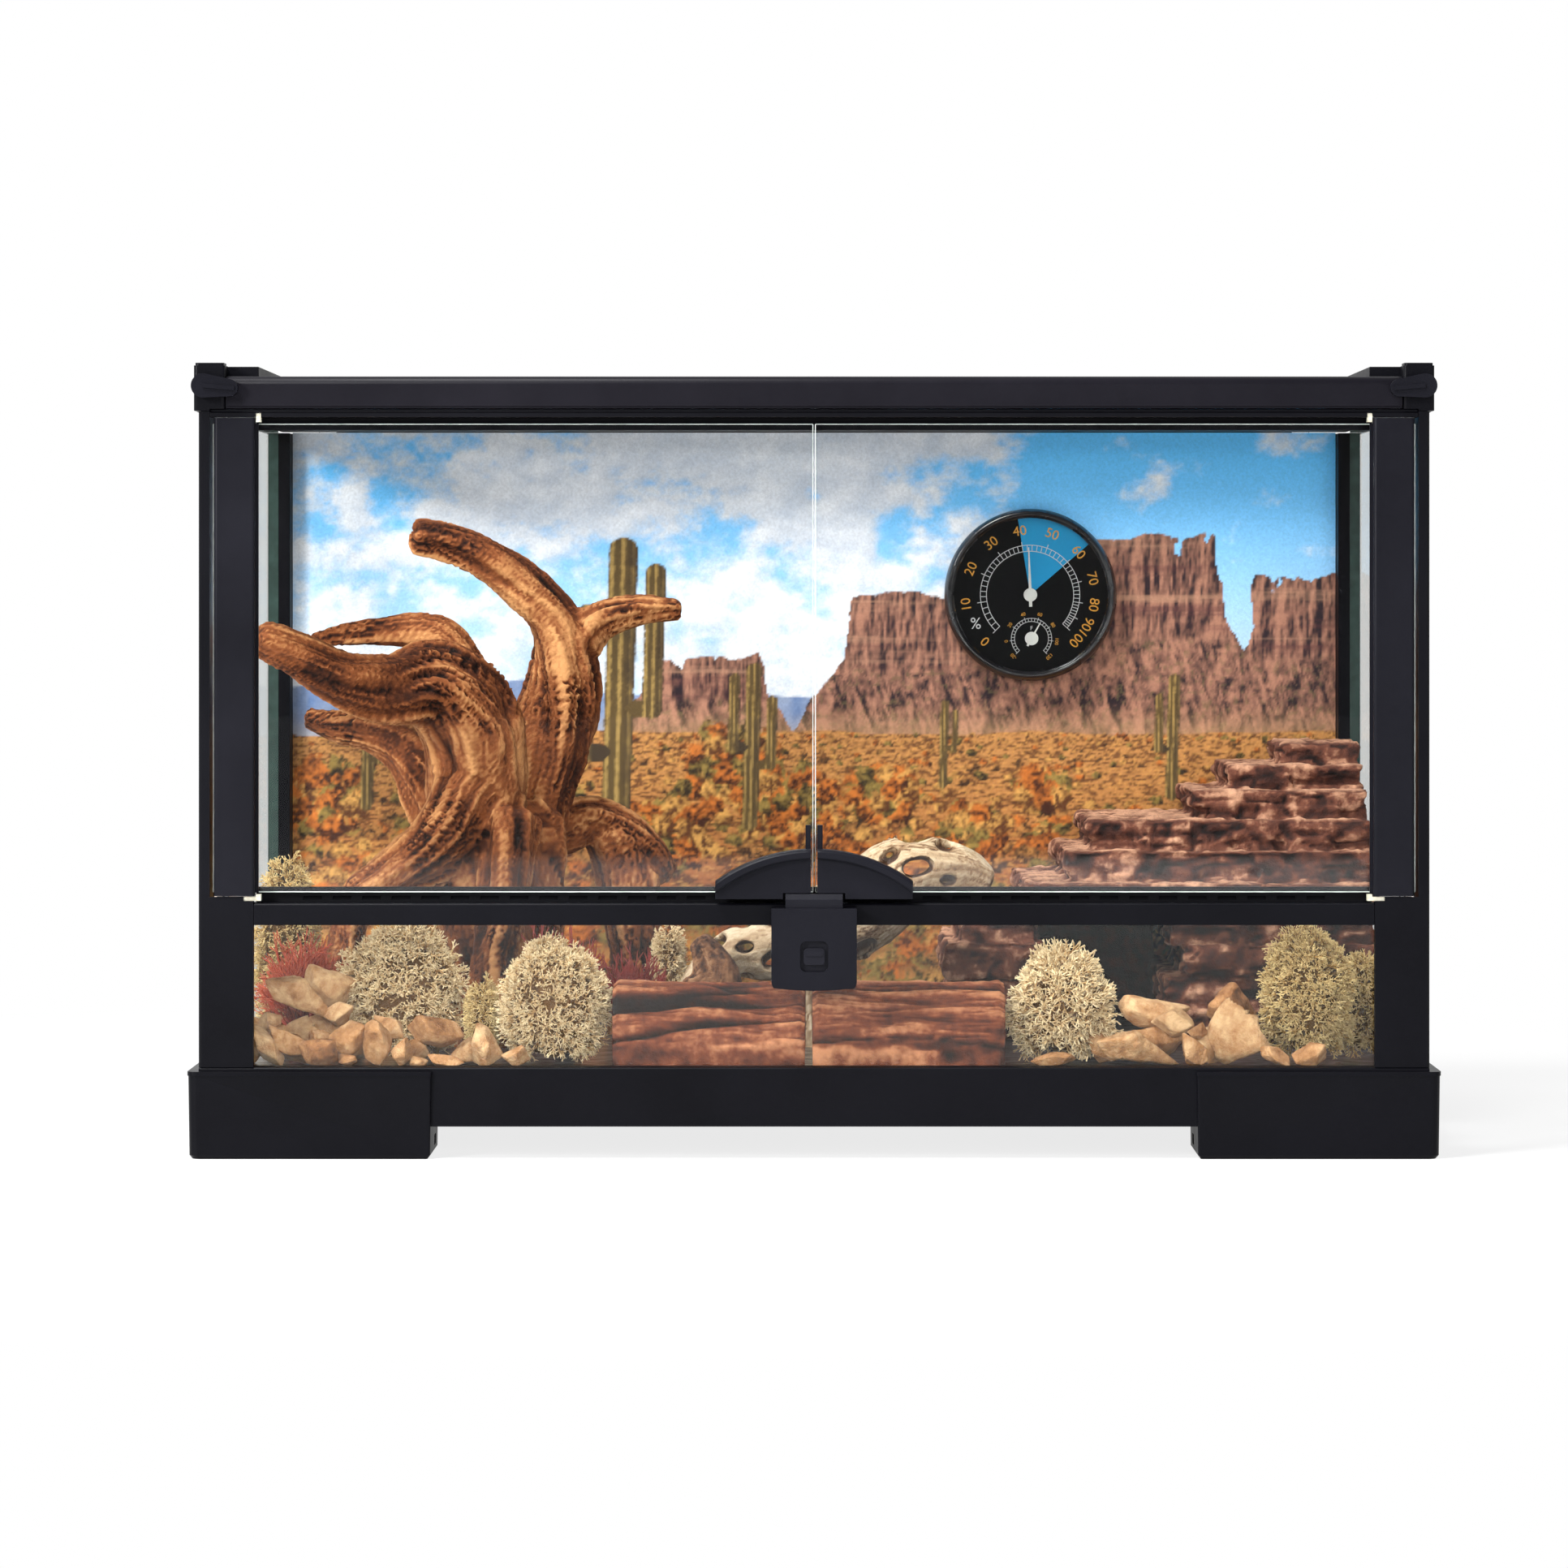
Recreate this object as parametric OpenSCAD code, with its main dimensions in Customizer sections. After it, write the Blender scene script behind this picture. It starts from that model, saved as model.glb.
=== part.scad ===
// Front-opening glass terrarium, 18 by 12 by 12 inch class, furnished for a desert reptile.
// Lengths are in mm. The ground is z = 0, the front faces -Y, and the origin is under the middle.

/* [Tank] */
// Width over the corner posts
tank_w = 457; // [452:1:520]
// Depth over the posts, front to back
tank_d = 305; // [303:1:360]
// Thickness of every glass pane
glass_t = 4; // [3.5:0.25:5]
// Clearance between glass and the plastic round it
glass_fit = 0.1; // [0.05:0.05:0.3]

/* [Heights] */
// Gap under the base rails
base_z = 12; // [8:1:18]
// Height of the base rails
base_h = 22; // [20:1:26]
// Height of the fixed front window between its rails
window_h = 52.8; // [50:0.4:70]
// Height of the mid rail
mid_h = 8.1; // [8:0.1:12]
// Open gap under the doors
sill_gap = 3.8; // [3.4:0.2:6]
// Height of the door glass
door_h = 174.4; // [170:0.2:230]
// Gap over the door glass
head_gap = 2.3; // [2.1:0.1:4]
// Height of the header rail
header_h = 3; // [2.8:0.1:5]
// Height of the rim that holds the lid
rim_h = 17; // [16:0.5:22]

/* [Posts] */
// Width of a post's front leg
post_w = 20.3; // [19.5:0.1:24]
// Depth of a post's side leg
post_d = 16; // [14:1:22]
// Thickness of a post's front leg
post_t = 3.9; // [3.5:0.1:4.5]
// Bevel along the outer edge of a post
post_bevel = 1; // [0.5:0.1:1.5]

/* [Feet] */
// Length of a corner boot
foot_l = 91; // [70:1:110]
// Depth of a corner boot
foot_d = 47; // [36:1:60]
// Height of a corner boot
foot_h = 32.5; // [28:0.5:33]
// How far a boot stands out at the side
foot_side = 4.3; // [3:0.1:6]
// How far a boot stands out at the front and the back
foot_face = 2; // [1.5:0.1:4]

/* [Rim] */
// Width of a side or rear rail of the rim
rim_w = 23; // [22:0.5:28]
// How far the rim stands out over the posts
rim_out = 1.8; // [1.5:0.1:3]
// Length of a front corner block
block_w = 11.6; // [11:0.1:14]
// Height of a corner block
block_h = 17.8; // [17:0.2:24]

/* [Lid] */
// Height of the lid's front bar
lid_bar_h = 11.9; // [11:0.1:13]
// Depth of the lid's front bar
lid_bar_d = 12.3; // [11:0.1:14]
// Width of the lid's side and rear bars
lid_side_w = 12; // [10:0.5:16]
// Height of the lid's side and rear bars
lid_side_h = 8; // [6:0.5:9]
// Clearance round the lid
lid_fit = 0.5; // [0.3:0.1:1]
// Gaps across the screen
mesh_across = 20; // [8:1:20]
// Gaps along the screen, front to back
mesh_along = 14; // [6:1:14]
// Width of a screen strand
mesh_strand = 0.8; // [0.6:0.1:2]

/* [Turn latches] */
// Radius of a latch's round end
turn_r = 4.5; // [3.5:0.1:5]
// Radius of a latch's tail
tail_r = 3.2; // [2.5:0.1:3.4]
// Distance from the pivot to the tail's centre
turn_len = 9.7; // [8:0.1:12]
// Thickness of a latch
turn_t = 3.4; // [3:0.1:5]

/* [Doors] */
// Gap between the two doors
door_gap = 0.6; // [0.4:0.1:2]
// Depth of the door glass behind the front of the posts
door_inset = 5; // [4.8:0.1:7]
// Width of a hinge stile
stile_w = 15.1; // [14:0.1:18]
// Thickness of a hinge stile
stile_t = 5.5; // [5:0.1:6.5]
// Radius of a pivot pin
pin_r = 1.25; // [1:0.05:1.4]
// Radial clearance of a pin in its bushing
pin_fit = 0.08; // [0.05:0.01:0.1]

/* [Handles] */
// Half the length of the pair of handles
handle_half = 36.6; // [30:0.2:42]
// Radius of the handles' arc
handle_r = 62.7; // [58:0.1:70]
// How far the handles rise over the bottom of the door glass
handle_rise = 16.4; // [15:0.2:20]
// How far the handles stand out from the posts
handle_out = 8; // [6:0.2:9]
// Width of the raised rim along the arc
handle_rim = 3.5; // [2.5:0.1:5]
// Height of the upright tail along the meeting edge
tail_top = 25.2; // [20:0.2:32]

/* [Centre latch] */
// Width of the housing
latch_w = 31.6; // [29:0.2:36]
// Height of the housing
latch_h = 30.4; // [29:0.2:36]
// How far the housing stands out from the posts
latch_out = 9; // [8.6:0.2:12]
// Travel of the thumb button
latch_travel = 2.2; // [1.5:0.1:2.3]
// Width of the hook tab
hook_w = 21.2; // [18:0.2:22]

/* [Gauge] */
// Radius of the gauge
gauge_r = 36; // [32:0.5:42]
// Depth of the gauge
gauge_t = 12; // [11:0.5:15]
// Distance of the gauge to the right of the middle
gauge_x = 90.6; // [60:0.2:130]
// Height of the gauge's centre over the floor pane
gauge_up = 176.9; // [150:0.5:185]

/* [Furnishings] */
// Side length of the ring steps along a branch: how many rings between two of its points
branch_steps = 3; // [2:1:4]
// Sides of a branch's section
branch_sides = 12; // [8:1:14]
// Room beside the logs for the clumps, from a side pane to the nearer log
log_room = 148.5; // [146:0.5:155]
// Height of a bark log
log_h = 33; // [26:1:36]

/* [Hidden] */
$fn = 48;

half_w = tank_w / 2;
// The latch housing stands out most in front and the boots most behind, and the origin is midway.
front_y = (latch_out - foot_face - tank_d) / 2;
// Levels from the ground up
base_top = base_z + base_h;
window_top = base_top + window_h;
mid_top = window_top + mid_h;
door_z = mid_top + sill_gap;
door_top = door_z + door_h;
header_z = door_top + head_gap;
header_top = header_z + header_h;
rim_z = header_top - 0.8;
rim_top = rim_z + rim_h;
floor_t = glass_t;
floor_top = base_top - 1;
// The rail sections, measured in from their outer face
rail_wall = 4;
rail_inner = 10;
rail_ledge = 8;
ledge_t = 4;
channel_depth = 3;
window_d = 4;
side_leg = glass_t + 0.1;
leg_top = mid_top + 0.9;
// The panes
pane_out = 0.3;
side_in = half_w - pane_out - glass_t;
pane_top = rim_z + 3.4;
back_d = tank_d - pane_out - glass_t;
print_t = 2;
print_d = back_d - 0.2 - print_t;
print_half = half_w - 9.5;
print_z = base_top + 0.1;
print_top = rim_z + 0.4;
// The doors
door_d = door_inset;
pane_side = 4.7;
stile_out = 5.7;
stile_in = stile_out + stile_w;
stile_face = door_d - stile_t;
pivot_x = -(half_w - 10);
pivot_d = door_d - 2.8;
stile_z = door_z - 1.1;
stile_top = header_z - 0.3;
bush_t = 1.5;
bush_gap = 0.3;
bush_tab = 1.8;
bush_end = -half_w + stile_in + 0.5 + bush_tab;
bush_front = pivot_d - 1.7;
bush_back = pivot_d + 2.4;
bush_fit = 0.05;
pin_press = 0.02;
stop_d = door_d + glass_t + 0.4;
stop_w = 2.2;
// The handles
handle_z = door_z - 2;
handle_mid = 1.2;
arc_z = door_z + handle_rise - handle_r;
panel_step = 3;
// The centre latch
latch_top = mid_top - 1.5;
latch_z = latch_top - latch_h;
front_wall = 2;
slot_fit = 0.4;
hook_top = door_z - 0.1;
hook_z = latch_top - 1;
slide_d = -latch_out + front_wall + 0.3;
slide_t = 2;
slide_half = 6;
well_z = latch_z + 3.5;
opening_z = latch_z + 6.9;
opening_top = opening_z + 11.4;
button_z = opening_z + latch_travel + 0.4;
spring_d = -2.9;
spring_r = 1.3;
wire_r = 0.3;
spring_top = well_z + 11.5;
// The rim and the lid
block_d = lid_bar_d + 0.3;
block_z = rim_z + 0.2;
block_top = block_z + block_h;
lid_seat = rim_z + 3.2;
ledge_w = 6;
bar_half = half_w + rim_out - block_w - 0.3;
bar_z = header_top + 0.3;
lid_half = half_w + rim_out - rim_w - lid_fit;
lid_back = tank_d + rim_out - rim_w - lid_fit;
lid_z = lid_seat + 0.2;
screen_t = 0.8;
screen_z = lid_z + 3.2;
screen_hold = 3;
slot_gap = 0.1;
// The turn latches
turn_x = -(half_w + rim_out - 3.9);
turn_z = bar_z + 8.3;
boss_t = 1.2;
boss_r = turn_r - 0.1;
turn_pin_r = 1.6;
turn_d = -0.2 - boss_t - 0.2;
// The gauge, outward from the backdrop
gauge_z = floor_top + gauge_up;
face_r = gauge_r - 3.9;
hub_r = 2.8;
shaft_r = 0.8;
shaft_fit = 0.06;
small_down = 18.3;
small_side = 0.6;
dial_h = 3;
dial_t = 0.8;
// Furnishings are placed from just off the side pane that they stand near
beside = side_in - 0.2;
ledge_side = -1.8;
log_gap = 3;
// The logs leave a little more room on the side of the ledge
ledge_more = 4;
// The clumps next to the logs reach from here, counted from the side panes, to just before the logs
clump_from = 104.5;
ledge_clump_from = 110;
clump_gap = 2;

// Places and helpers shared by the pieces

// y is counted back from the front of the posts inside this module's children
module from_front() {
    translate([0, front_y, 0]) children();
}

// Furnishings by the left or the right pane: x is counted from just off that pane
module from_left() {
    translate([-beside, front_y, 0]) children();
}

module from_right() {
    translate([beside, front_y, 0]) children();
}

// A piece drawn for the left side, kept there or mirrored to the right
module on_side(right) {
    mirror([right ? 1 : 0, 0, 0]) children();
}

module bar(x0, x1, d0, d1, z0, z1) {
    translate([x0, d0, z0]) cube([x1 - x0, d1 - d0, z1 - z0]);
}

// Carries a section drawn in depth and height along the width
module along_x(x0, x1) {
    translate([x0, 0, 0]) rotate([90, 0, 90]) linear_extrude(x1 - x0) children();
}

// Carries a section drawn in x and height from the front to the back
module along_y(d0, d1) {
    translate([0, d1, 0]) rotate([90, 0, 0]) linear_extrude(d1 - d0) children();
}

// A rectangle from the origin with four round corners
module round_rect(w, h, r) {
    translate([r, 0]) square([w - 2 * r, h]);
    translate([0, r]) square([w, h - 2 * r]);
    for (x = [r, w - r], y = [r, h - r])
        translate([x, y]) circle(r);
}

// A cylinder along the depth, from depth d0 to depth d1
module rod_y(r, d0, d1) {
    translate([0, d1, 0]) rotate([90, 0, 0]) cylinder(r = r, h = d1 - d0);
}

// Frame

// One level of a boot: a thin plate drawn in by inset, round at the outer corner
module boot_level(z, inset) {
    x0 = -(half_w + foot_side) + inset;
    y0 = -foot_face + inset;
    x1 = -(half_w + foot_side) + foot_l - inset;
    y1 = -foot_face + foot_d - inset;
    corner_r = 3.5;
    small_r = 0.8;
    translate([x0 + corner_r, y0 + corner_r, z]) cylinder(r = corner_r, h = 0.2, $fn = 40);
    for (p = [[x1, y0, -1, 1], [x0, y1, 1, -1], [x1, y1, -1, -1]])
        translate([p[0] + p[2] * small_r, p[1] + p[3] * small_r, z])
            cylinder(r = small_r, h = 0.2, $fn = 16);
}

// The front left boot: a drafted cup that the base frame stands in, with a bead round its top
module boot() {
    fit = 0.05;
    bead_h = 1.6;
    difference() {
        union() {
            hull() {
                boot_level(0, 1.8);
                boot_level(1.4, 0.7);
                boot_level(foot_h - 0.2, 0.3);
            }
            hull() {
                boot_level(foot_h - bead_h, 0);
                boot_level(foot_h - 0.2, 0);
            }
        }
        bar(-half_w - fit, 0, -fit, tank_d, base_z, base_top + 1);
        // The key slot in the inner end
        bar(-half_w - foot_side + foot_l - 3, 0, 24, 33, 3, 7);
    }
}

module at_rear() {
    translate([0, tank_d, 0]) mirror([0, 1, 0]) children();
}

module foot_front_left() { color([0.11, 0.11, 0.13]) from_front() boot(); }
module foot_front_right() { color([0.11, 0.11, 0.13]) from_front() on_side(true) boot(); }
module foot_rear_left() { color([0.11, 0.11, 0.13]) from_front() at_rear() boot(); }
module foot_rear_right() { color([0.11, 0.11, 0.13]) from_front() on_side(true) at_rear() boot(); }

// The moulded section of a base rail, measured in from its outer face: wall, glass channel, floor ledge
module base_section(channel) {
    inner = channel ? rail_inner : glass_t + 2;
    lip = 0.6;
    difference() {
        polygon([[0, base_z], [0, base_top - lip], [lip, base_top], [inner, base_top],
            [inner, floor_top - floor_t], [inner + rail_ledge, floor_top - floor_t],
            [inner + rail_ledge, floor_top - floor_t - ledge_t],
            [rail_wall, floor_top - floor_t - ledge_t], [rail_wall, base_z]]);
        if (channel)
            translate([window_d - glass_fit, base_top - channel_depth])
                square([glass_t + 2 * glass_fit, channel_depth + 1]);
    }
}

module base_front_rail() {
    color([0.11, 0.11, 0.13]) from_front() along_x(-half_w, half_w) base_section(true);
}

module base_rear_rail() {
    color([0.11, 0.11, 0.13]) from_front() at_rear() along_x(-half_w, half_w) base_section(false);
}

module base_side() {
    along_y(rail_inner + rail_ledge + 0.1, tank_d - glass_t - 2 - rail_ledge - 0.1)
        translate([-half_w, 0]) base_section(false);
}

module base_left_rail() { color([0.11, 0.11, 0.13]) from_front() base_side(); }
module base_right_rail() { color([0.11, 0.11, 0.13]) from_front() on_side(true) base_side(); }

module floor_pane() {
    half = half_w - glass_t - 2 - glass_fit;
    color([0.75, 0.85, 0.82, 0.4]) from_front()
        bar(-half, half, rail_inner + glass_fit, tank_d - glass_t - 2 - glass_fit,
            floor_top - floor_t, floor_top);
}

// A front post: an L whose front leg stops under the door, with the bore of the lower pivot in its end
// and a low lip before the bushing
module front_post() {
    lip_end = 3.6;
    difference() {
        union() {
            translate([-half_w, 0, base_top]) linear_extrude(leg_top + bush_t - base_top)
                polygon([[0, post_bevel], [post_bevel, 0], [post_w, 0], [post_w, post_t],
                    [side_leg, post_t], [side_leg, post_d], [0, post_d]]);
            translate([-half_w, 0, base_top]) linear_extrude(rim_z - base_top)
                polygon([[0, post_bevel], [post_bevel, 0], [side_leg, 0], [side_leg, post_d], [0, post_d]]);
        }
        bar(-half_w + side_leg, -half_w + post_w + 1, bush_front - bush_fit, post_t + 1,
            leg_top, leg_top + bush_t + 1);
        bar(-half_w + post_w - lip_end, -half_w + post_w + 1, -1, post_t + 1, leg_top, leg_top + bush_t + 1);
        translate([pivot_x, pivot_d, leg_top - 3.5]) cylinder(r = pin_r + pin_fit, h = 4);
    }
}

module front_left_post() { color([0.11, 0.11, 0.13]) from_front() front_post(); }
module front_right_post() { color([0.11, 0.11, 0.13]) from_front() on_side(true) front_post(); }

// A rear post: an L outside the glass with a bar inside the corner
module rear_post() {
    inner_w = 5.1;
    translate([-half_w, 0, base_top]) linear_extrude(rim_z - base_top)
        polygon([[0, tank_d - post_bevel], [post_bevel, tank_d], [post_w, tank_d],
            [post_w, back_d], [side_leg + inner_w, back_d], [side_leg + inner_w, tank_d - post_d],
            [0, tank_d - post_d]]);
}

module rear_left_post() { color([0.11, 0.11, 0.13]) from_front() rear_post(); }
module rear_right_post() { color([0.11, 0.11, 0.13]) from_front() on_side(true) rear_post(); }

// The rail between window and doors, with the groove that holds the window's top edge
module mid_rail() {
    depth = 13;
    between = half_w - post_w - 0.1;
    behind = half_w - side_leg - 0.1;
    color([0.11, 0.11, 0.13]) from_front() difference() {
        union() {
            along_x(-between, between)
                polygon([[0, window_top], [0, mid_top - 0.6], [0.6, mid_top], [depth, mid_top],
                    [depth, window_top]]);
            bar(-behind, behind, window_d + glass_t + 0.4, depth, window_top, mid_top);
        }
        bar(-half_w, half_w, window_d - glass_fit, window_d + glass_t + glass_fit,
            window_top - 1, window_top + channel_depth + 0.2);
    }
}

// The upright strip behind the bottom edge of the doors: it stops them, and lets air in through louvres
// that rise inwards, so that nothing shows through them
module vent_strip() {
    half = half_w - post_w - 0.3;
    slot_w = 7;
    pitch = 11;
    slot_h = 1.5;
    over = 1;
    low = mid_top + 0.8 - over;
    count = floor((2 * half - 30) / pitch);
    color([0.16, 0.16, 0.18]) from_front() difference() {
        bar(-half, half, stop_d, stop_d + stop_w, mid_top, door_z + 1.9);
        for (i = [0 : count - 1])
            let (x = (i - (count - 1) / 2) * pitch, rise = stop_w + 2 * over)
                along_x(x - slot_w / 2, x + slot_w / 2)
                    polygon([[stop_d - over, low], [stop_d + stop_w + over, low + rise],
                        [stop_d + stop_w + over, low + rise + slot_h], [stop_d - over, low + slot_h]]);
    }
}

// The rail over the doors, with the lip that stops them and the pockets of the upper bushings
module header_rail() {
    half = half_w - side_leg - 0.1;
    stop_half = half_w - post_w - 0.3;
    depth = stop_d + stop_w + 0.6;
    color([0.11, 0.11, 0.13]) from_front() difference() {
        union() {
            along_x(-half, half)
                polygon([[0, header_z], [0, header_top - 1.1], [1, header_top - 1.1], [1, header_top],
                    [depth, header_top], [depth, header_z]]);
            bar(-stop_half, stop_half, stop_d, depth, header_z - 4.6, header_z + 0.5);
        }
        for (side = [false, true]) on_side(side) {
            bar(-half - 1, bush_end + bush_fit, bush_front - bush_fit, bush_back + bush_fit,
                header_z - 1, stile_top + bush_gap + bush_t + bush_fit);
            // The tab shows through the front wall
            bar(bush_end - bush_tab - bush_fit, bush_end + bush_fit, -1, bush_back,
                header_z - 1, stile_top + bush_gap + bush_t + bush_fit);
        }
    }
}

// Rim

// The rim section, measured in from its outer face: glass groove, outer wall and the ledge under the lid
module rim_section() {
    groove = rim_out + pane_out - glass_fit;
    groove_w = glass_t + 2 * glass_fit;
    polygon([[0, rim_z], [0, rim_top - 1], [1, rim_top], [rim_w, rim_top], [rim_w, lid_seat],
        [rim_w + ledge_w, lid_seat], [rim_w + ledge_w, rim_z + 0.8], [groove + groove_w, rim_z + 0.8],
        [groove + groove_w, pane_top + 0.1], [groove, pane_top + 0.1], [groove, rim_z]]);
}

module rim_side() {
    difference() {
        along_y(block_d + 0.1, tank_d + rim_out) translate([-half_w - rim_out, 0]) rim_section();
        // The groove over the end of the back pane
        bar(-half_w + post_w, 0, back_d - glass_fit, back_d + glass_t + glass_fit, rim_z - 1, pane_top + 0.1);
    }
}

module rim_left_rail() { color([0.11, 0.11, 0.13]) from_front() rim_side(); }
module rim_right_rail() { color([0.11, 0.11, 0.13]) from_front() on_side(true) rim_side(); }

module rim_rear_rail() {
    half = half_w + rim_out - rim_w - ledge_w - 0.1;
    color([0.11, 0.11, 0.13]) from_front() translate([0, tank_d + rim_out, 0]) mirror([0, 1, 0])
        along_x(-half, half) rim_section();
}

// The front corner of the rim that carries a turn latch
module corner_block() {
    r = 1.2;
    difference() {
        translate([-half_w - rim_out, -0.2, block_z]) union() {
            linear_extrude(block_h - 1) round_rect(block_w, block_d + 0.2, r);
            translate([0.5, 0.5, 0]) linear_extrude(block_h) round_rect(block_w - 1, block_d - 0.8, r);
        }
        translate([turn_x, 0, turn_z]) rod_y(turn_pin_r + pin_press, -1, 5);
        // Where the block comes down over the end of the header rail
        bar(-half_w + side_leg, 0, -1, block_d + 1, block_z - 1, header_top + 0.1);
    }
}

module corner_block_left() { color([0.11, 0.11, 0.13]) from_front() corner_block(); }
module corner_block_right() { color([0.11, 0.11, 0.13]) from_front() on_side(true) corner_block(); }

// Glass and backdrop

module side_pane() {
    bar(-half_w + pane_out, -side_in, post_d + glass_fit, tank_d - post_d - glass_fit, base_top, pane_top);
}

module left_side_pane() { color([0.75, 0.85, 0.82, 0.3]) from_front() side_pane(); }
module right_side_pane() { color([0.75, 0.85, 0.82, 0.3]) from_front() on_side(true) side_pane(); }

module back_pane() {
    half = half_w - post_w - glass_fit;
    color([0.75, 0.85, 0.82, 0.3]) from_front()
        bar(-half, half, back_d, back_d + glass_t, base_top, pane_top);
}

module front_window() {
    half = half_w - side_leg - glass_fit;
    color([0.75, 0.85, 0.82, 0.3]) from_front()
        bar(-half, half, window_d, window_d + glass_t, base_top - channel_depth, window_top + channel_depth);
}

module backdrop() {
    color([0.75, 0.6, 0.4]) from_front()
        bar(-print_half, print_half, print_d, print_d + print_t, print_z, print_top);
}

// Doors

// A nylon plate with the pivot bore and a tab at its inner end
module bushing(z, tab_z0, tab_z1) {
    difference() {
        union() {
            bar(-half_w + side_leg + 2.4, bush_end - bush_tab, bush_front, bush_back, z, z + bush_t);
            bar(bush_end - bush_tab, bush_end, bush_front, bush_back, tab_z0, tab_z1);
        }
        translate([pivot_x, pivot_d, z - 1]) cylinder(r = pin_r + pin_fit, h = bush_t + 2);
    }
}

module lower_bushings() {
    color([0.85, 0.83, 0.76]) from_front() for (side = [false, true])
        on_side(side) bushing(leg_top, leg_top, door_z - 0.5);
}

module upper_bushings() {
    z = stile_top + bush_gap;
    color([0.85, 0.83, 0.76]) from_front() for (side = [false, true])
        on_side(side) bushing(z, door_top + 0.5, z + bush_t);
}

module door_pane() {
    bar(-half_w + pane_side, -door_gap / 2, door_d, door_d + glass_t, door_z, door_top);
}

// The hinge stile: bonded to the face of the glass, bored for its pins, with a soft lip on the inner edge
module door_stile() {
    r = 1.2;
    lip_w = 1.1;
    difference() {
        union() {
            translate([-half_w + stile_out, stile_face, stile_z]) linear_extrude(stile_top - stile_z)
                round_rect(stile_w, stile_t, r);
            translate([-half_w + stile_in - 0.5, door_d - 1.2, door_z]) cube([lip_w + 0.5, 1.2, door_h]);
        }
        translate([pivot_x, pivot_d, stile_z - 1]) cylinder(r = pin_r + pin_press, h = 10);
        translate([pivot_x, pivot_d, stile_top - 9]) cylinder(r = pin_r + pin_press, h = 10);
    }
}

module door_pins() {
    low = leg_top - 3;
    high = stile_top + bush_gap + bush_t - 0.1;
    translate([pivot_x, pivot_d, low]) cylinder(r = pin_r, h = stile_z + 8 - low);
    translate([pivot_x, pivot_d, stile_top - 8]) cylinder(r = pin_r, h = high - stile_top + 8);
}

// Half of the half-moon pull: a revolved profile with a raised rim, cut to one side, and an upright tail
module door_handle() {
    notch_half = hook_w / 2 + 0.9;
    difference() {
        union() {
            intersection() {
                translate([0, 0, arc_z]) rotate([90, 0, 0]) rotate_extrude($fn = 96)
                    polygon([[0, -door_d], [handle_r, -door_d], [handle_r, handle_out - 1],
                        [handle_r - 1, handle_out], [handle_r - handle_rim + 0.6, handle_out],
                        [handle_r - handle_rim, handle_out - 0.6],
                        [handle_r - handle_rim, handle_out - panel_step], [0, handle_out - panel_step]]);
                bar(-handle_half, -handle_mid, -handle_out - 1, door_d, handle_z, door_z + 40);
            }
            bar(-handle_mid - 2, -handle_mid, 1, door_d, door_z + 2, door_z + tail_top);
        }
        // The bottom edge is open in the middle for the hook of the centre latch
        bar(-notch_half, 1, -handle_out - 1, door_d + 1, handle_z - 1, door_z + 0.2);
    }
}

module left_door_pane() { color([0.75, 0.85, 0.82, 0.3]) from_front() door_pane(); }
module left_door_stile() { color([0.11, 0.11, 0.13]) from_front() door_stile(); }
module left_door_pins() { color([0.7, 0.7, 0.72]) from_front() door_pins(); }
module left_door_handle() { color([0.11, 0.11, 0.13]) from_front() door_handle(); }
module right_door_pane() { color([0.75, 0.85, 0.82, 0.3]) from_front() on_side(true) door_pane(); }
module right_door_stile() { color([0.11, 0.11, 0.13]) from_front() on_side(true) door_stile(); }
module right_door_pins() { color([0.7, 0.7, 0.72]) from_front() on_side(true) door_pins(); }
module right_door_handle() { color([0.11, 0.11, 0.13]) from_front() on_side(true) door_handle(); }

// Centre latch

// The housing: a bowed shield hung from the mid rail, hollow behind its front wall, open over the slide
module latch_housing() {
    bow_r = 120;
    color([0.11, 0.11, 0.13]) from_front() difference() {
        union() {
            intersection() {
                translate([-latch_w / 2, 0, latch_z - 1]) rotate([90, 0, 0])
                    linear_extrude(latch_out) union() {
                        round_rect(latch_w, latch_h, 4.5);
                        translate([0, latch_h / 2]) square([latch_w, latch_h / 2 + 1]);
                    }
                translate([0, 0, latch_z + bow_r]) rod_y(bow_r, -latch_out - 1, 1);
            }
            bar(-latch_w / 2 + 1, latch_w / 2 - 1, -0.1, window_d - 0.1, latch_z + 3, window_top - 0.1);
        }
        // The well behind the front wall, the window for the button, and the slot for the hook
        bar(-slide_half - slot_fit, slide_half + slot_fit, -latch_out + front_wall, -1,
            well_z, latch_top + 1);
        translate([-5.2, 1, opening_z]) rotate([90, 0, 0]) linear_extrude(latch_out + 3) intersection() {
            round_rect(10.4, opening_top - opening_z, 2.4);
            square([10.4, opening_top - opening_z]);
        }
        bar(-hook_w / 2 - slot_fit, hook_w / 2 + slot_fit, slide_d - 0.3, slide_d + 5.4,
            hook_z - latch_travel - 0.2, latch_top + 1);
    }
}

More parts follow.
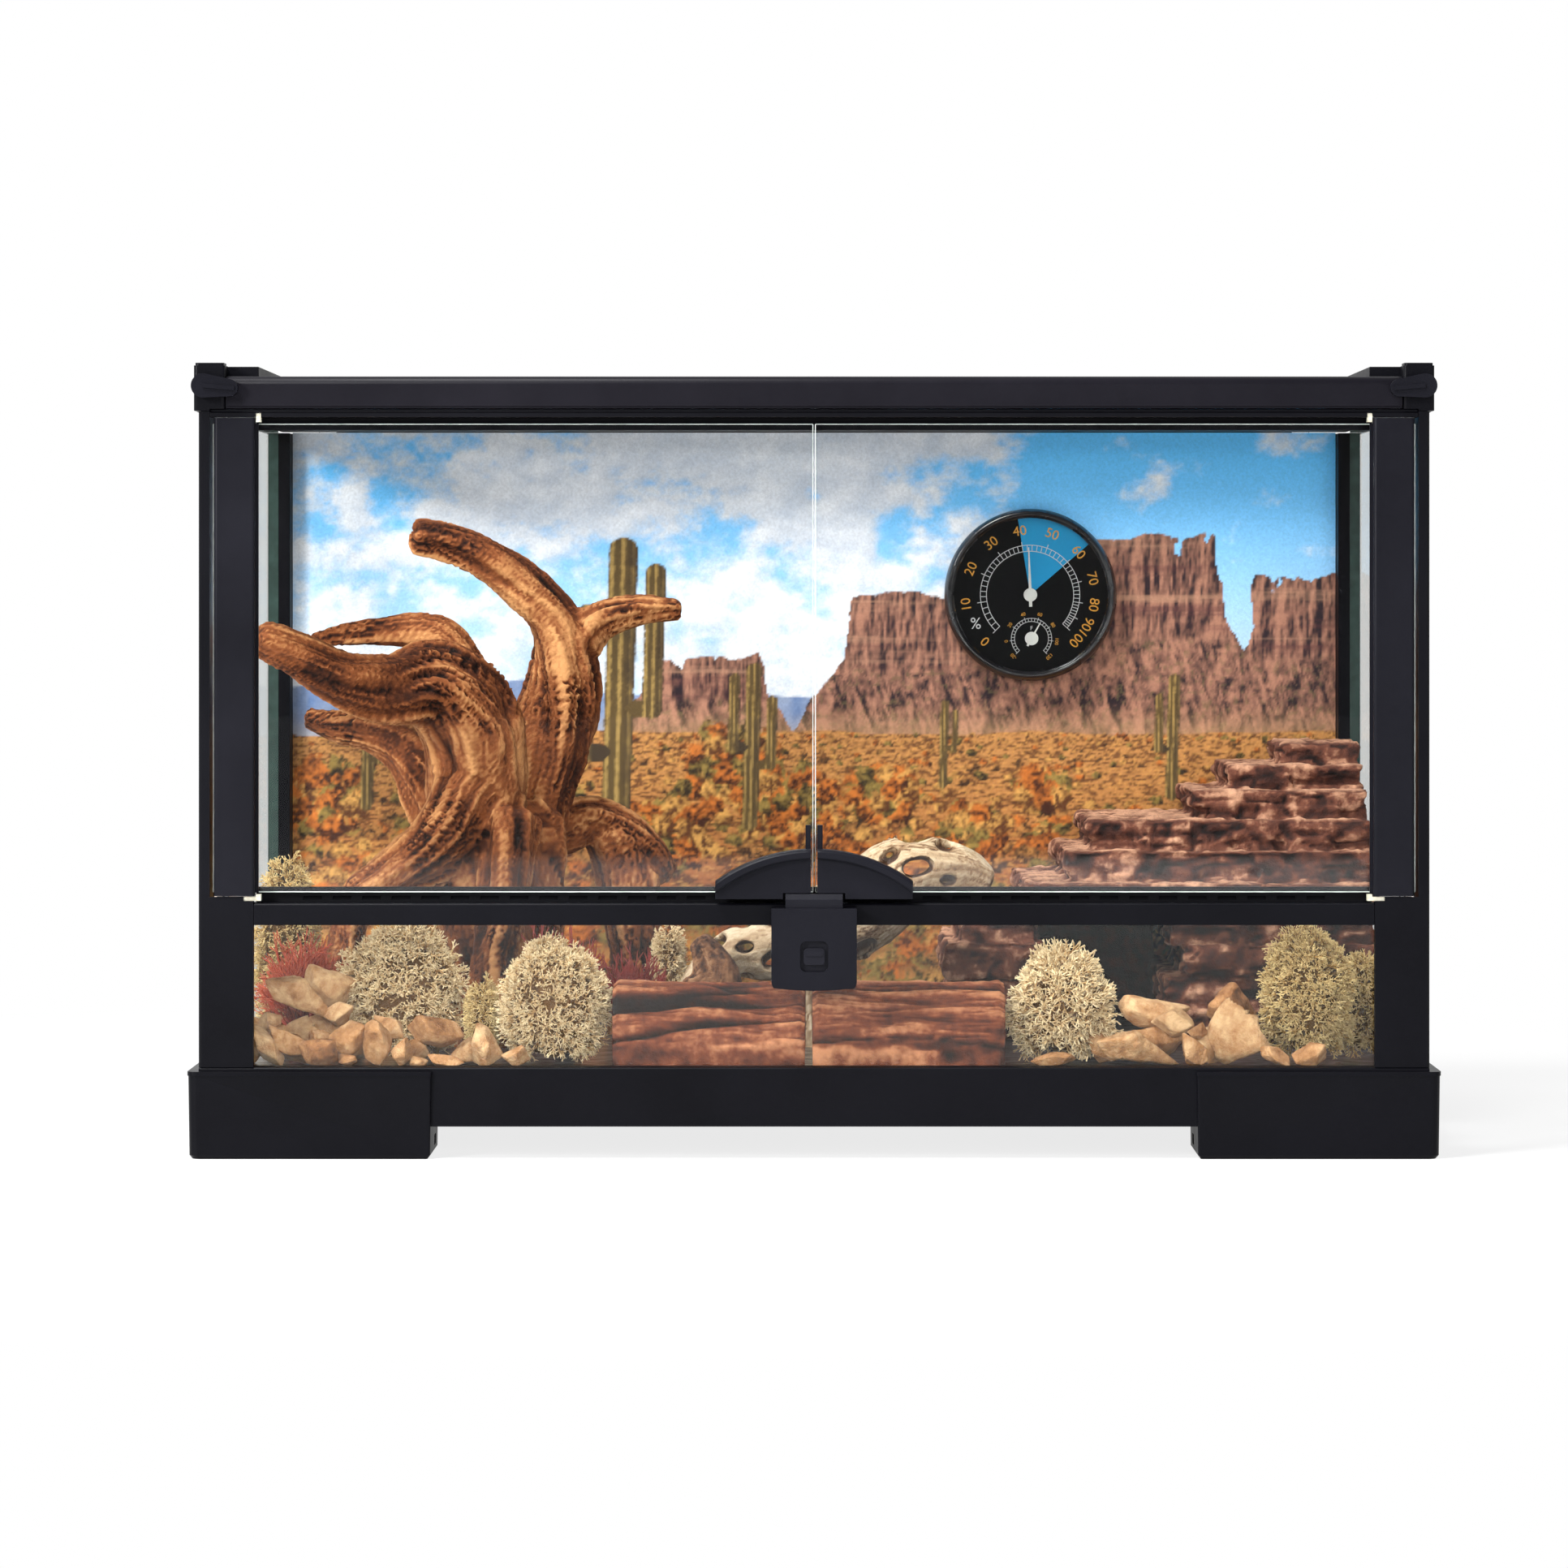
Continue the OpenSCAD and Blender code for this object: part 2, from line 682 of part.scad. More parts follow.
// The slide: stem, thumb button with its ridge, spring lug, and the hook tab with its lead-in slope
module latch_slide() {
    tab_t = 4.8;
    button_top = opening_top - 2.6;
    color([0.13, 0.13, 0.15]) from_front() {
        bar(-slide_half, slide_half, slide_d, slide_d + slide_t, opening_z - 0.1, hook_z + 0.1);
        translate([-3.9, slide_d + 0.1, button_z]) rotate([90, 0, 0])
            linear_extrude(slide_d + latch_out - 0.4) round_rect(7.8, button_top - button_z, 1.4);
        translate([-3.3, slide_d + 0.1, button_top - 3]) rotate([90, 0, 0])
            linear_extrude(slide_d + latch_out - 0.1) round_rect(6.6, 2.2, 0.8);
        bar(-2.5, 2.5, slide_d + slide_t - 0.1, -1.4, spring_top, spring_top + 2);
        along_x(-hook_w / 2, hook_w / 2)
            polygon([[slide_d, hook_z], [slide_d, hook_top - 2], [slide_d + 1.6, hook_top],
                [slide_d + tab_t, hook_top], [slide_d + tab_t, hook_z]]);
    }
}

// A helical tube with flat ends cut square to its axis
module coil(turns, coil_r, tube_r, height, sides, steps) {
    rings = turns * steps;
    rise = (height - 2 * tube_r) / rings;
    points = [for (i = [0 : rings]) for (j = [0 : sides - 1])
        let (a = 360 * i / steps, b = 360 * j / sides)
        [(coil_r + tube_r * cos(b)) * cos(a), (coil_r + tube_r * cos(b)) * sin(a),
            tube_r + rise * i + tube_r * sin(b)]];
    skin = [for (i = [0 : rings - 1]) for (j = [0 : sides - 1])
        let (n = (j + 1) % sides, a = i * sides, b = a + sides)
        each [[a + j, b + j, b + n], [a + j, b + n, a + n]]];
    first = [for (j = [0 : sides - 1]) j];
    last = [for (j = [sides - 1 : -1 : 0]) rings * sides + j];
    polyhedron(points, concat(skin, [first, last]));
}

module latch_spring() {
    color([0.7, 0.7, 0.72]) from_front() translate([0, spring_d, well_z])
        coil(7, spring_r, wire_r, spring_top - well_z, 6, 8);
}

// Lid

// One moulded frame: the broad front bar over the header and three low bars that drop between the rim rails
module lid_frame() {
    bar_top = bar_z + lid_bar_h;
    edge_r = 3;
    side_top = lid_z + lid_side_h;
    inner = lid_half - lid_side_w;
    color([0.1, 0.1, 0.12]) from_front() difference() {
        union() {
            along_x(-bar_half, bar_half) union() {
                translate([edge_r, bar_z]) square([lid_bar_d - edge_r, lid_bar_h]);
                translate([0, bar_z + 0.8]) square([lid_bar_d, lid_bar_h - 0.8 - edge_r]);
                translate([0.8, bar_z]) square([edge_r, lid_bar_h / 2]);
                translate([edge_r, bar_top - edge_r]) circle(edge_r);
            }
            bar(-lid_half, lid_half, lid_bar_d - 0.1, lid_bar_d + 4, lid_z, side_top);
            for (side = [false, true])
                on_side(side) bar(-lid_half, -inner, lid_bar_d, lid_back, lid_z, side_top);
            bar(-lid_half, lid_half, lid_back - lid_side_w, lid_back, lid_z, side_top);
        }
        // The slot that holds the edge of the screen
        bar(-inner - screen_hold, inner + screen_hold, lid_bar_d + 4 - screen_hold,
            lid_back - lid_side_w + screen_hold, screen_z - slot_gap, screen_z + screen_t + slot_gap);
    }
}

// The steel screen: a flat net with a closed border held in the lid's slot
module lid_screen() {
    hold = screen_hold - 0.2;
    half = lid_half - lid_side_w;
    d0 = lid_bar_d + 4;
    d1 = lid_back - lid_side_w;
    step_x = (2 * half + mesh_strand) / mesh_across;
    step_d = (d1 - d0 + mesh_strand) / mesh_along;
    color([0.2, 0.2, 0.22]) from_front() translate([0, 0, screen_z]) linear_extrude(screen_t)
        difference() {
            translate([-half - hold, d0 - hold]) square([2 * (half + hold), d1 - d0 + 2 * hold]);
            for (i = [0 : mesh_across - 1], j = [0 : mesh_along - 1])
                translate([-half + i * step_x, d0 + j * step_d])
                    square([step_x - mesh_strand, step_d - mesh_strand]);
        }
}

// A teardrop lever: two discs joined by their common tangents, with a raised ridge along the top
module turn_latch() {
    spread = acos((turn_r - tail_r) / turn_len);
    ridge_w = 1.6;
    difference() {
        translate([turn_x, turn_d, turn_z]) rotate([90, 5, 0]) union() {
            cylinder(r = turn_r, h = turn_t);
            translate([turn_len, 0, 0]) cylinder(r = tail_r, h = turn_t);
            linear_extrude(turn_t)
                polygon([[turn_r * cos(spread), turn_r * sin(spread)],
                    [turn_len + tail_r * cos(spread), tail_r * sin(spread)],
                    [turn_len + tail_r * cos(spread), -tail_r * sin(spread)],
                    [turn_r * cos(spread), -turn_r * sin(spread)]]);
            translate([0, -ridge_w / 2, turn_t - 0.1]) cube([turn_len + tail_r - 1.2, ridge_w, 0.8]);
        }
        translate([turn_x, 0, turn_z]) rod_y(turn_pin_r + pin_fit, turn_d - turn_t + 1, 0);
    }
}

module turn_latch_left() { color([0.1, 0.1, 0.12]) from_front() turn_latch(); }
module turn_latch_right() { color([0.1, 0.1, 0.12]) from_front() on_side(true) turn_latch(); }

module turn_latch_pivots() {
    color([0.12, 0.12, 0.14]) from_front() for (side = [false, true])
        on_side(side) translate([turn_x, 0, turn_z]) {
            rod_y(boss_r, -0.2 - boss_t, -0.2);
            rod_y(turn_pin_r, turn_d - turn_t + 1.2, 4.8);
        }
}

// Gauge

// Lays a piece of the gauge, drawn upward from z = 0, against the backdrop
module on_backdrop() {
    from_front() translate([gauge_x, print_d, gauge_z]) rotate([90, 0, 0]) children();
}

module gauge_case() {
    inner = face_r + 1.3;
    lens_h = gauge_t - 3.7;
    color([0.07, 0.07, 0.08]) on_backdrop() difference() {
        rotate_extrude($fn = 96)
            polygon([[0, 0], [gauge_r - 1, 0], [gauge_r, 1.5], [gauge_r, gauge_t - 2.6],
                [gauge_r - 1.4, gauge_t - 0.3], [gauge_r - 2.6, gauge_t], [face_r + 0.6, gauge_t - 1],
                [face_r, gauge_t - 2], [face_r, lens_h + 1.1], [inner, lens_h + 1.1], [inner, dial_h - 1],
                [0, dial_h - 1]]);
        cylinder(r = shaft_r + shaft_fit, h = 8, center = true);
        translate([small_side, -small_down, 0]) cylinder(r = shaft_r + shaft_fit, h = 8, center = true);
    }
}

module gauge_dial() {
    color([0.03, 0.03, 0.04]) on_backdrop() difference() {
        translate([0, 0, dial_h - 1]) cylinder(r = face_r + 1.2, h = dial_t, $fn = 96);
        cylinder(r = shaft_r + shaft_fit, h = 12, center = true);
        translate([small_side, -small_down, 0]) cylinder(r = shaft_r + shaft_fit, h = 12, center = true);
    }
}

module gauge_lens() {
    color([0.9, 0.95, 1, 0.2]) on_backdrop() translate([0, 0, gauge_t - 3.6])
        cylinder(r = face_r + 1.2, h = 1, $fn = 96);
}

// A needle on its spindle: tapered blade, short tail and round hub
module needle(reach, tail, width, lift) {
    translate([0, 0, 0.4]) cylinder(r = shaft_r, h = lift + 1.6);
    translate([0, 0, lift]) cylinder(r = hub_r, h = 2);
    translate([0, 0, lift + 0.5]) linear_extrude(0.6)
        polygon([[-width / 2, -tail], [width / 2, -tail], [width / 2, 0], [0.2, reach], [-0.2, reach],
            [-width / 2, 0]]);
}

module humidity_needle() {
    color([0.9, 0.9, 0.9]) on_backdrop() rotate([0, 0, 2]) needle(19.9, 5, 1.3, dial_h + 2.4);
}

module temperature_needle() {
    color([0.9, 0.9, 0.9]) on_backdrop() translate([small_side, -small_down, 0])
        rotate([0, 0, -29]) needle(7.4, 3.6, 0.9, dial_h + 0.2);
}

// Furnishings

// One value of the smooth curve through four points, at t from 0 to 1 between the middle two
function smooth(a, b, c, d, t) =
    0.5 * (2 * b + (c - a) * t + (2 * a - 5 * b + 4 * c - d) * t * t + (3 * b - a - 3 * c + d) * t * t * t);

function branch_path(p, steps) = let (n = len(p)) concat(
    [for (i = [0 : n - 2]) for (k = [0 : steps - 1])
        smooth(p[max(i - 1, 0)], p[i], p[i + 1], p[min(i + 2, n - 1)], k / steps)], [p[n - 1]]);

function place(p) = [p[0], p[1], p[2]];
function unit(v) = v / norm(v);

// A branch: rings of a gnarled section carried along a smooth path of [x, depth, height, radius]
module branch(points, seed, gnarl = 0.12) {
    path = branch_path(points, branch_steps);
    n = len(path);
    sides = branch_sides;
    rings = [for (i = [0 : n - 1])
        let (
            along = unit(place(path[min(i + 1, n - 1)]) - place(path[max(i - 1, 0)])),
            across = unit(cross(along, [0, 1, 0])),
            outward = cross(along, across)
        )
        for (j = [0 : sides - 1])
            let (
                a = 360 * j / sides,
                lump = 1 + gnarl * (sin(3 * a + 23 * seed + 9 * i) + 0.6 * sin(5 * a - 31 * seed + 17 * i))
            )
            place(path[i]) + path[i][3] * lump * (cos(a) * across + sin(a) * outward)];
    first = place(path[0]) - 0.3 * path[0][3] * unit(place(path[1]) - place(path[0]));
    last = place(path[n - 1]) + 0.3 * path[n - 1][3] * unit(place(path[n - 1]) - place(path[n - 2]));
    ends = n * sides;
    skin = [for (i = [0 : n - 2]) for (j = [0 : sides - 1])
        let (m = (j + 1) % sides, a = i * sides, b = a + sides)
        each [[a + j, b + j, b + m], [a + j, b + m, a + m]]];
    caps = [for (j = [0 : sides - 1])
        let (m = (j + 1) % sides, b = (n - 1) * sides)
        each [[ends, j, m], [ends + 1, b + m, b + j]]];
    polyhedron(concat(rings, [first, last]), concat(skin, caps));
}

// A short broken stub, as weathered wood has along its limbs
module stub(x, d, z, r, dx, dd, dz) {
    hull() {
        translate([x, d, z]) sphere(r = r, $fn = 8);
        translate([x + dx, d + dd, z + dz]) sphere(r = r * 0.6, $fn = 8);
    }
}

// Everything of a piece that reaches under the floor's surface is cut off, so it stands flat
module on_floor() {
    intersection() {
        children();
        bar(-tank_w, tank_w, 0, tank_d, floor_top, rim_z);
    }
}

// The upright limb that bends over, and the thick middle of the root
module root_core() {
    tall_limb = [[98, 176, 26, 17], [101, 176, 60, 14], [105, 176, 95, 13], [111, 177, 126, 14],
        [121, 180, 156, 16], [124, 182, 178, 14], [120, 182, 199, 10.5], [106, 180, 215, 9],
        [90, 177, 226, 8], [76, 174, 232, 7], [66, 172, 234, 7]];
    branch(tall_limb, 4);
    hull() {
        translate([98, 152, 60]) sphere(r = 20, $fn = 10);
        translate([110, 170, 120]) sphere(r = 15, $fn = 10);
    }
}

// A weathered root with a curling limb, standing at the left
module driftwood_root() {
    left_limb = [[100, 150, 26, 24], [97, 150, 60, 21], [94, 150, 98, 19], [92, 150, 130, 19],
        [89, 146, 158, 20], [76, 134, 173, 17], [58, 118, 173, 12.5], [42, 106, 177, 10],
        [26, 98, 186, 8.5], [11, 93, 193, 7]];
    hook = [[84, 150, 166, 11], [81, 152, 182, 10], [73, 152, 193, 8], [56, 152, 195, 6],
        [39, 150, 194, 4.5], [26, 148, 192, 3]];
    low_limb = [[86, 158, 96, 15], [75, 164, 126, 12], [62, 170, 147, 10], [47, 173, 155, 8],
        [33, 174, 157, 6], [22, 175, 160, 4.5]];
    right_limb = [[123, 184, 186, 12], [137, 188, 199, 8], [153, 190, 204, 6], [169, 191, 204, 4]];
    left_root = [[88, 140, 130, 14], [74, 132, 110, 12], [56, 126, 98, 8.5], [44, 124, 88, 7],
        [40, 126, 60, 8], [38, 128, 26, 9]];
    front_leg = [[104, 140, 120, 12], [102, 128, 90, 10], [98, 122, 62, 9], [94, 120, 26, 11]];
    color([0.68, 0.5, 0.32]) from_left() on_floor() union() {
        root_core();
        branch(left_limb, 1);
        branch(hook, 2);
        branch(low_limb, 3);
        branch(right_limb, 5);
        branch(left_root, 8);
        branch(front_leg, 9);
        stub(64, 124, 181, 4, -3, -6, 5);
        stub(23, 175, 158, 4, -5, 2, 7);
        stub(118, 180, 206, 5, -2, -5, 9);
        stub(67, 172, 234, 6, -5, 0, 2);
        stub(130, 176, 186, 6, 8, -6, -4);
        stub(78, 150, 196, 7, 4, 2, 6);
        stub(104, 160, 146, 9, 4, -10, 14);
    }
}

// The root's right prong and the leg that it rests on, with an arch between leg and root
module driftwood_prong() {
    prong = [[112, 184, 114, 9], [124, 187, 115, 9], [134, 190, 119, 9], [146, 193, 113, 9.5],
        [158, 195, 103, 8], [164, 196, 97, 5]];
    leg = [[143, 192, 112, 10], [148, 193, 98, 11], [151, 194, 70, 10.5], [152, 194, 26, 12]];
    color([0.66, 0.48, 0.3]) from_left() on_floor() difference() {
        union() {
            branch(prong, 6);
            branch(leg, 7);
            stub(134, 190, 124, 6, 2, -3, 8);
        }
        root_core();
    }
}

module pale_branch() {
    trunk = [[-50, 118, 30, 10], [-44, 120, 56, 9], [-34, 122, 68, 10], [-14, 124, 72, 13], [14, 126, 83, 17],
        [36, 128, 99, 16], [56, 130, 101, 11], [67, 131, 97, 7]];
    prop = [[0, 126, 78, 9], [1, 126, 60, 8], [2, 126, 30, 10]];
    // Centre, size and lean of the oval holes worn into the wood
    holes = [[-30, 68, 3, 4], [20, 92, 3, 6], [30, 108, 3.4, 7], [42, 106, 4.2, 8], [40, 93, 2.6, 5],
        [56, 103, 2.4, 6], [6, 76, 2.4, 4], [28, 84, 2.2, 5], [-8, 74, 2.4, 4]];
    color([0.82, 0.76, 0.66]) from_front() on_floor() difference() {
        union() {
            branch(trunk, 11, 0.09);
            branch(prop, 12, 0.09);
        }
        for (h = holes) hull() for (end = [-1, 1])
            translate([h[0] + end * h[3] / 2, 100, h[1] + end * h[3] / 3]) rotate([-90, 0, 0])
                cylinder(r = h[2], h = 25, $fn = 14);
    }
}

// A log's end outline: a low arch with bark ridges round it
function bark_outline(w, h, seed) = [for (k = [0 : 30])
    let (a = 180 * k / 30, wave = 1 + 0.05 * sin(9 * a + 40 * seed) + 0.035 * sin(17 * a + 70 * seed))
    [w / 2 * sign(cos(a)) * pow(abs(cos(a)), 0.55) * wave, max(0, h * pow(sin(a), 0.45) * min(wave, 1))]];

module bark_logs() {
    log_w = 34;
    log_d = 34;
    log_l = (2 * beside - 2 * log_room - log_gap - ledge_more) / 2;
    color([0.45, 0.26, 0.2]) from_front() {
        translate([-beside + log_room, log_d, floor_top]) rotate([90, 0, 90]) linear_extrude(log_l)
            polygon(bark_outline(log_w, log_h, 1));
        translate([-beside + log_room + log_l + log_gap, log_d, floor_top]) rotate([90, 0, 90])
            linear_extrude(log_l) polygon(bark_outline(log_w, log_h + 1, 2));
    }
}

// One broken layer of slate: a plate whose edges wander
module slate(x0, x1, d0, d1, z0, z1, seed) {
    n = 7;
    rough = 2.2;
    front = [for (i = [0 : n]) [x0 + (x1 - x0) * i / n, d0 + rough * sin(97 * i + 53 * seed)]];
    left = [for (i = [1 : 4]) [x0 + rough * sin(131 * i + 71 * seed), d0 + (d1 - d0) * (5 - i) / 5]];
    translate([0, 0, z0]) linear_extrude(z1 - z0)
        polygon(concat(front, [[x1, d1], [x0, d1]], [for (i = [0 : 3]) left[i]]));
}

// Layered ledge: two piers and a back wall under stepped roof layers, open in front as a hide
module slate_ledge() {
    back = tank_d - post_d - 1;
    layer_h = 12.8;
    pier_top = floor_top + 4 * layer_h;
    // Left end, front edge and top of each roof layer
    roof = [[-142, 131, 96], [-126, 148, 108], [-116, 164, 120], [-74, 180, 131], [-58, 196, 141],
        [-36, 214, 150]];
    color([0.45, 0.27, 0.25]) from_right() union() {
        for (i = [0 : 3]) {
            z = floor_top + i * layer_h;
            slate(-87 + [3, 0, 8, 2][i], ledge_side, 134 + [0, 5, 2, 8][i], back, z, z + layer_h, i);
            slate(-176 + [0, 6, 3, 9][i], -131 - [0, 3, 1, 4][i], 152 + [0, 4, 2, 6][i], back,
                z, z + layer_h, i + 5);
        }
        bar(-136, -82, back - 20, back, floor_top, pier_top);
        for (i = [0 : len(roof) - 1])
            slate(roof[i][0], ledge_side, roof[i][1], back, i == 0 ? pier_top : roof[i - 1][2],
                roof[i][2], 10 + i);
    }
}

// A rounded, uneven lump standing on the floor: a sphere's grid with its radius waved and its foot cut flat
module lump(x, d, w, depth, h, seed, rough, around = 12, levels = 7, sink = 0.25) {
    mid = h * (0.5 - sink / 2);
    up = h - mid;
    function at(i, j) = let (
        u = 180 * i / levels,
        a = 360 * j / around,
        waves = sin(2 * a + 61 * seed + 40 * i) + 0.7 * sin(5 * a + 37 * seed - 70 * i),
        wave = 1 + rough * waves * sin(u) / 2,
        edge = pow(sin(u), 0.7)
    ) [x + w / 2 * edge * cos(a) * wave, d + depth / 2 * edge * sin(a) * wave,
        floor_top + max(0, mid + up * cos(u) * (1 + 0.3 * rough * sin(3 * a + 50 * seed) * sin(u)))];
    points = concat([at(0, 0)], [for (i = [1 : levels - 1]) for (j = [0 : around - 1]) at(i, j)],
        [[x, d, floor_top]]);
    last = len(points) - 1;
    base = 1 + (levels - 2) * around;
    polyhedron(points, concat(
        [for (j = [0 : around - 1]) [0, 1 + (j + 1) % around, 1 + j]],
        [for (i = [0 : levels - 3]) for (j = [0 : around - 1])
            let (m = (j + 1) % around, a = 1 + i * around, b = a + around)
            each [[a + j, a + m, b + m], [a + j, b + m, b + j]]],
        [for (j = [0 : around - 1]) [last, base + j, base + (j + 1) % around]]));
}

module stone(x, d, w, depth, h, seed) {
    lump(x, d, w, depth, h, seed, 0.16, 8, 5);
}

module left_stones() {
    color([0.78, 0.66, 0.5]) from_left() {
        stone(18, 22, 15, 16, 17, 1);
        stone(34, 20, 14, 12, 12, 2);
        stone(49, 20, 15, 12, 14, 3);
        stone(64, 21, 14, 14, 19, 4);
        stone(78, 20, 11, 12, 11, 5);
        stone(91, 17, 12, 8, 7, 6);
        stone(103.5, 22, 11, 12, 18, 7);
        stone(30, 38, 26, 18, 32, 8);
        stone(83, 36, 20, 14, 22, 9);
        stone(12, 42, 9, 16, 24, 10);
    }
}

module right_stones() {
    color([0.8, 0.68, 0.52]) from_right() {
        stone(-102, 24, 30, 18, 17, 11);
        stone(-81, 20, 12, 12, 13, 12);
        stone(-66, 24, 17, 18, 24, 13);
        stone(-51.5, 19, 9, 9, 8, 14);
        stone(-38.5, 19, 12, 10, 8, 15);
        stone(-93, 47, 28, 20, 28, 16);
        stone(-66, 46, 18, 18, 32, 17);
        // The small stone halfway between the logs and the first stone
        stone(-(log_room + ledge_more + 117) / 2, 19, 13, 9, 6, 18);
    }
}

module lichen(x, d, w, depth, h, seed) {
    lump(x, d, w, depth, h, seed, 0.12, 14, 8);
}

module lichen_clumps() {
    clump_to = log_room - clump_gap;
    ledge_to = log_room + ledge_more - clump_gap;
    color([0.72, 0.7, 0.6]) {
        from_left() {
            lichen(67, 62, 50, 30, 52, 1);
            lichen((clump_from + clump_to) / 2, 37, clump_to - clump_from, 38, 47, 2);
            lichen(98, 52, 11, 18, 31, 3);
            lichen(18, 120, 26, 24, 72, 7);
            lichen(166, 165, 14, 16, 46, 8);
        }
        from_right() {
            lichen(-(ledge_clump_from + ledge_to) / 2, 42, ledge_to - ledge_clump_from, 30, 42, 4);
            lichen(-37, 46, 34, 34, 51, 5);
            lichen(-15, 62, 20, 22, 42, 6);
        }
    }
}

// Low tufts: a flat crown over a narrow foot
module tuft(x, d, w, h, seed) {
    translate([x, d, floor_top]) cylinder(r1 = w / 5, r2 = w / 2.4, h = h * 0.55, $fn = 24);
    translate([x, d, floor_top + h * 0.55 - 0.01])
        cylinder(r1 = w / 2.4, r2 = w / 3.4, h = h * 0.45, $fn = 24);
}

module plants() {
    color([0.5, 0.16, 0.14]) from_left() {
        tuft(28, 88, 38, 46, 1);
        tuft(122, 92, 24, 42, 2);
        tuft(160, 92, 22, 38, 3);
    }
}

// A split piece of bark leaning on its end
module bark_shard() {
    color([0.42, 0.28, 0.18]) from_left() translate([187, 96, floor_top]) rotate([90, 0, 0])
        linear_extrude(12, center = true)
            polygon([[-13, 0], [13, 0], [14, 18], [10, 32], [2, 44], [-9, 46], [-13, 34], [-11, 16]]);
}

foot_front_left();
foot_front_right();
foot_rear_left();
foot_rear_right();
base_front_rail();
base_rear_rail();
base_left_rail();
base_right_rail();
floor_pane();
front_left_post();
front_right_post();
rear_left_post();
rear_right_post();
mid_rail();
vent_strip();
header_rail();
rim_left_rail();
rim_right_rail();
rim_rear_rail();
corner_block_left();
corner_block_right();
left_side_pane();
right_side_pane();
back_pane();
front_window();
backdrop();
lower_bushings();
upper_bushings();
left_door_pane();
left_door_stile();
left_door_pins();
left_door_handle();
right_door_pane();
right_door_stile();
right_door_pins();
right_door_handle();
latch_housing();
latch_slide();
latch_spring();
lid_frame();
lid_screen();
turn_latch_left();
turn_latch_right();
turn_latch_pivots();
gauge_case();
gauge_dial();
gauge_lens();
humidity_needle();
temperature_needle();
driftwood_root();
driftwood_prong();
pale_branch();
bark_logs();
slate_ledge();
left_stones();
right_stones();
lichen_clumps();
plants();
bark_shard();
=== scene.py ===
"""The furnished reptile terrarium in a pale studio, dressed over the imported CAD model."""

import math

import bpy
import numpy as np
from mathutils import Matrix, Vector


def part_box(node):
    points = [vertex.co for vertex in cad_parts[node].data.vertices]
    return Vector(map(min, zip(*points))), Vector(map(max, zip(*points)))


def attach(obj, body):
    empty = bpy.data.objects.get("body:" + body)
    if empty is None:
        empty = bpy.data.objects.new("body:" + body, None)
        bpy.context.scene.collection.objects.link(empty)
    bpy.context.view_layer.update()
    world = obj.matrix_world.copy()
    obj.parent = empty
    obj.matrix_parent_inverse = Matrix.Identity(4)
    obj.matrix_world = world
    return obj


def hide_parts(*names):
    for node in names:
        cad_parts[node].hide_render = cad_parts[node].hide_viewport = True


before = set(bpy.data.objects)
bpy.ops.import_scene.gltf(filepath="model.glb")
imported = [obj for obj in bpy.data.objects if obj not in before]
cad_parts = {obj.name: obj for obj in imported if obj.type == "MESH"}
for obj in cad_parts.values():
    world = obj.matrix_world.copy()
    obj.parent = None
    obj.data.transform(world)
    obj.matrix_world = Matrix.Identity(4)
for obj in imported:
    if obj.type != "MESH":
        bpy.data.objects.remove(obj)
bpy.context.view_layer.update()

# Studio. A pale floor and a white room behind, darker behind the camera as a photographer's
# room is, with one broad lamp from the upper left, a weaker one from the right and a low fill.


def linear(*rgb):
    """A colour given as 0 to 255 on screen, as the linear values a shader takes, with alpha 1."""
    c = np.array(rgb) / 255
    c = np.where(c <= 0.04045, c / 12.92, ((c + 0.055) / 1.055) ** 2.4)
    return (*c.tolist(), 1.0)


def put(tree, kind, **values):
    """A new shader node; each value sets a property, sets a socket, or is a link into it."""
    node = tree.nodes.new("ShaderNode" + kind)
    for name, value in values.items():
        socket = node.inputs.get(name.replace("_", " "))
        if socket is None:
            setattr(node, name, value)
        elif isinstance(value, bpy.types.NodeSocket):
            tree.links.new(value, socket)
        else:
            socket.default_value = value
    return node


def mixed(tree, amount, a, b, mode="MIX"):
    """The colour a mixed with b, where amount, a and b are values or sockets."""
    node = tree.nodes.new("ShaderNodeMix")
    node.data_type, node.blend_type = "RGBA", mode
    for index, value in ((0, amount), (6, a), (7, b)):
        if isinstance(value, bpy.types.NodeSocket):
            tree.links.new(value, node.inputs[index])
        else:
            node.inputs[index].default_value = value
    return node.outputs[2]


def spread(tree, value, low, high, to_low=0.0, to_high=1.0):
    """value, carried from the range low..high to to_low..to_high and held there."""
    return put(
        tree, "MapRange", Value=value, From_Min=low, From_Max=high, To_Min=to_low, To_Max=to_high
    ).outputs["Result"]


def shades(tree, value, *stops):
    """A colour ramp over value, from stops of (place, colour)."""
    node = put(tree, "ValToRGB", Fac=value)
    ramp = node.color_ramp
    while len(ramp.elements) < len(stops):
        ramp.elements.new(0.5)
    for element, (place, colour) in zip(ramp.elements, sorted(stops)):
        element.position, element.color = place, colour
    return node.outputs["Color"]


def surface(name, **shader):
    """A new material, its tree and its Principled shader, with constant values set on the shader."""
    mat = bpy.data.materials.new(name)
    mat.use_nodes = True
    bsdf = mat.node_tree.nodes["Principled BSDF"]
    for key, value in shader.items():
        bsdf.inputs[key.replace("_", " ")].default_value = value
    return mat, mat.node_tree, bsdf


def bump(tree, bsdf, height, distance, strength=1.0):
    """Feeds a height socket into the shader's normal as relief of that distance in metres."""
    node = put(tree, "Bump", Height=height, Distance=distance, Strength=strength)
    tree.links.new(node.outputs["Normal"], bsdf.inputs["Normal"])


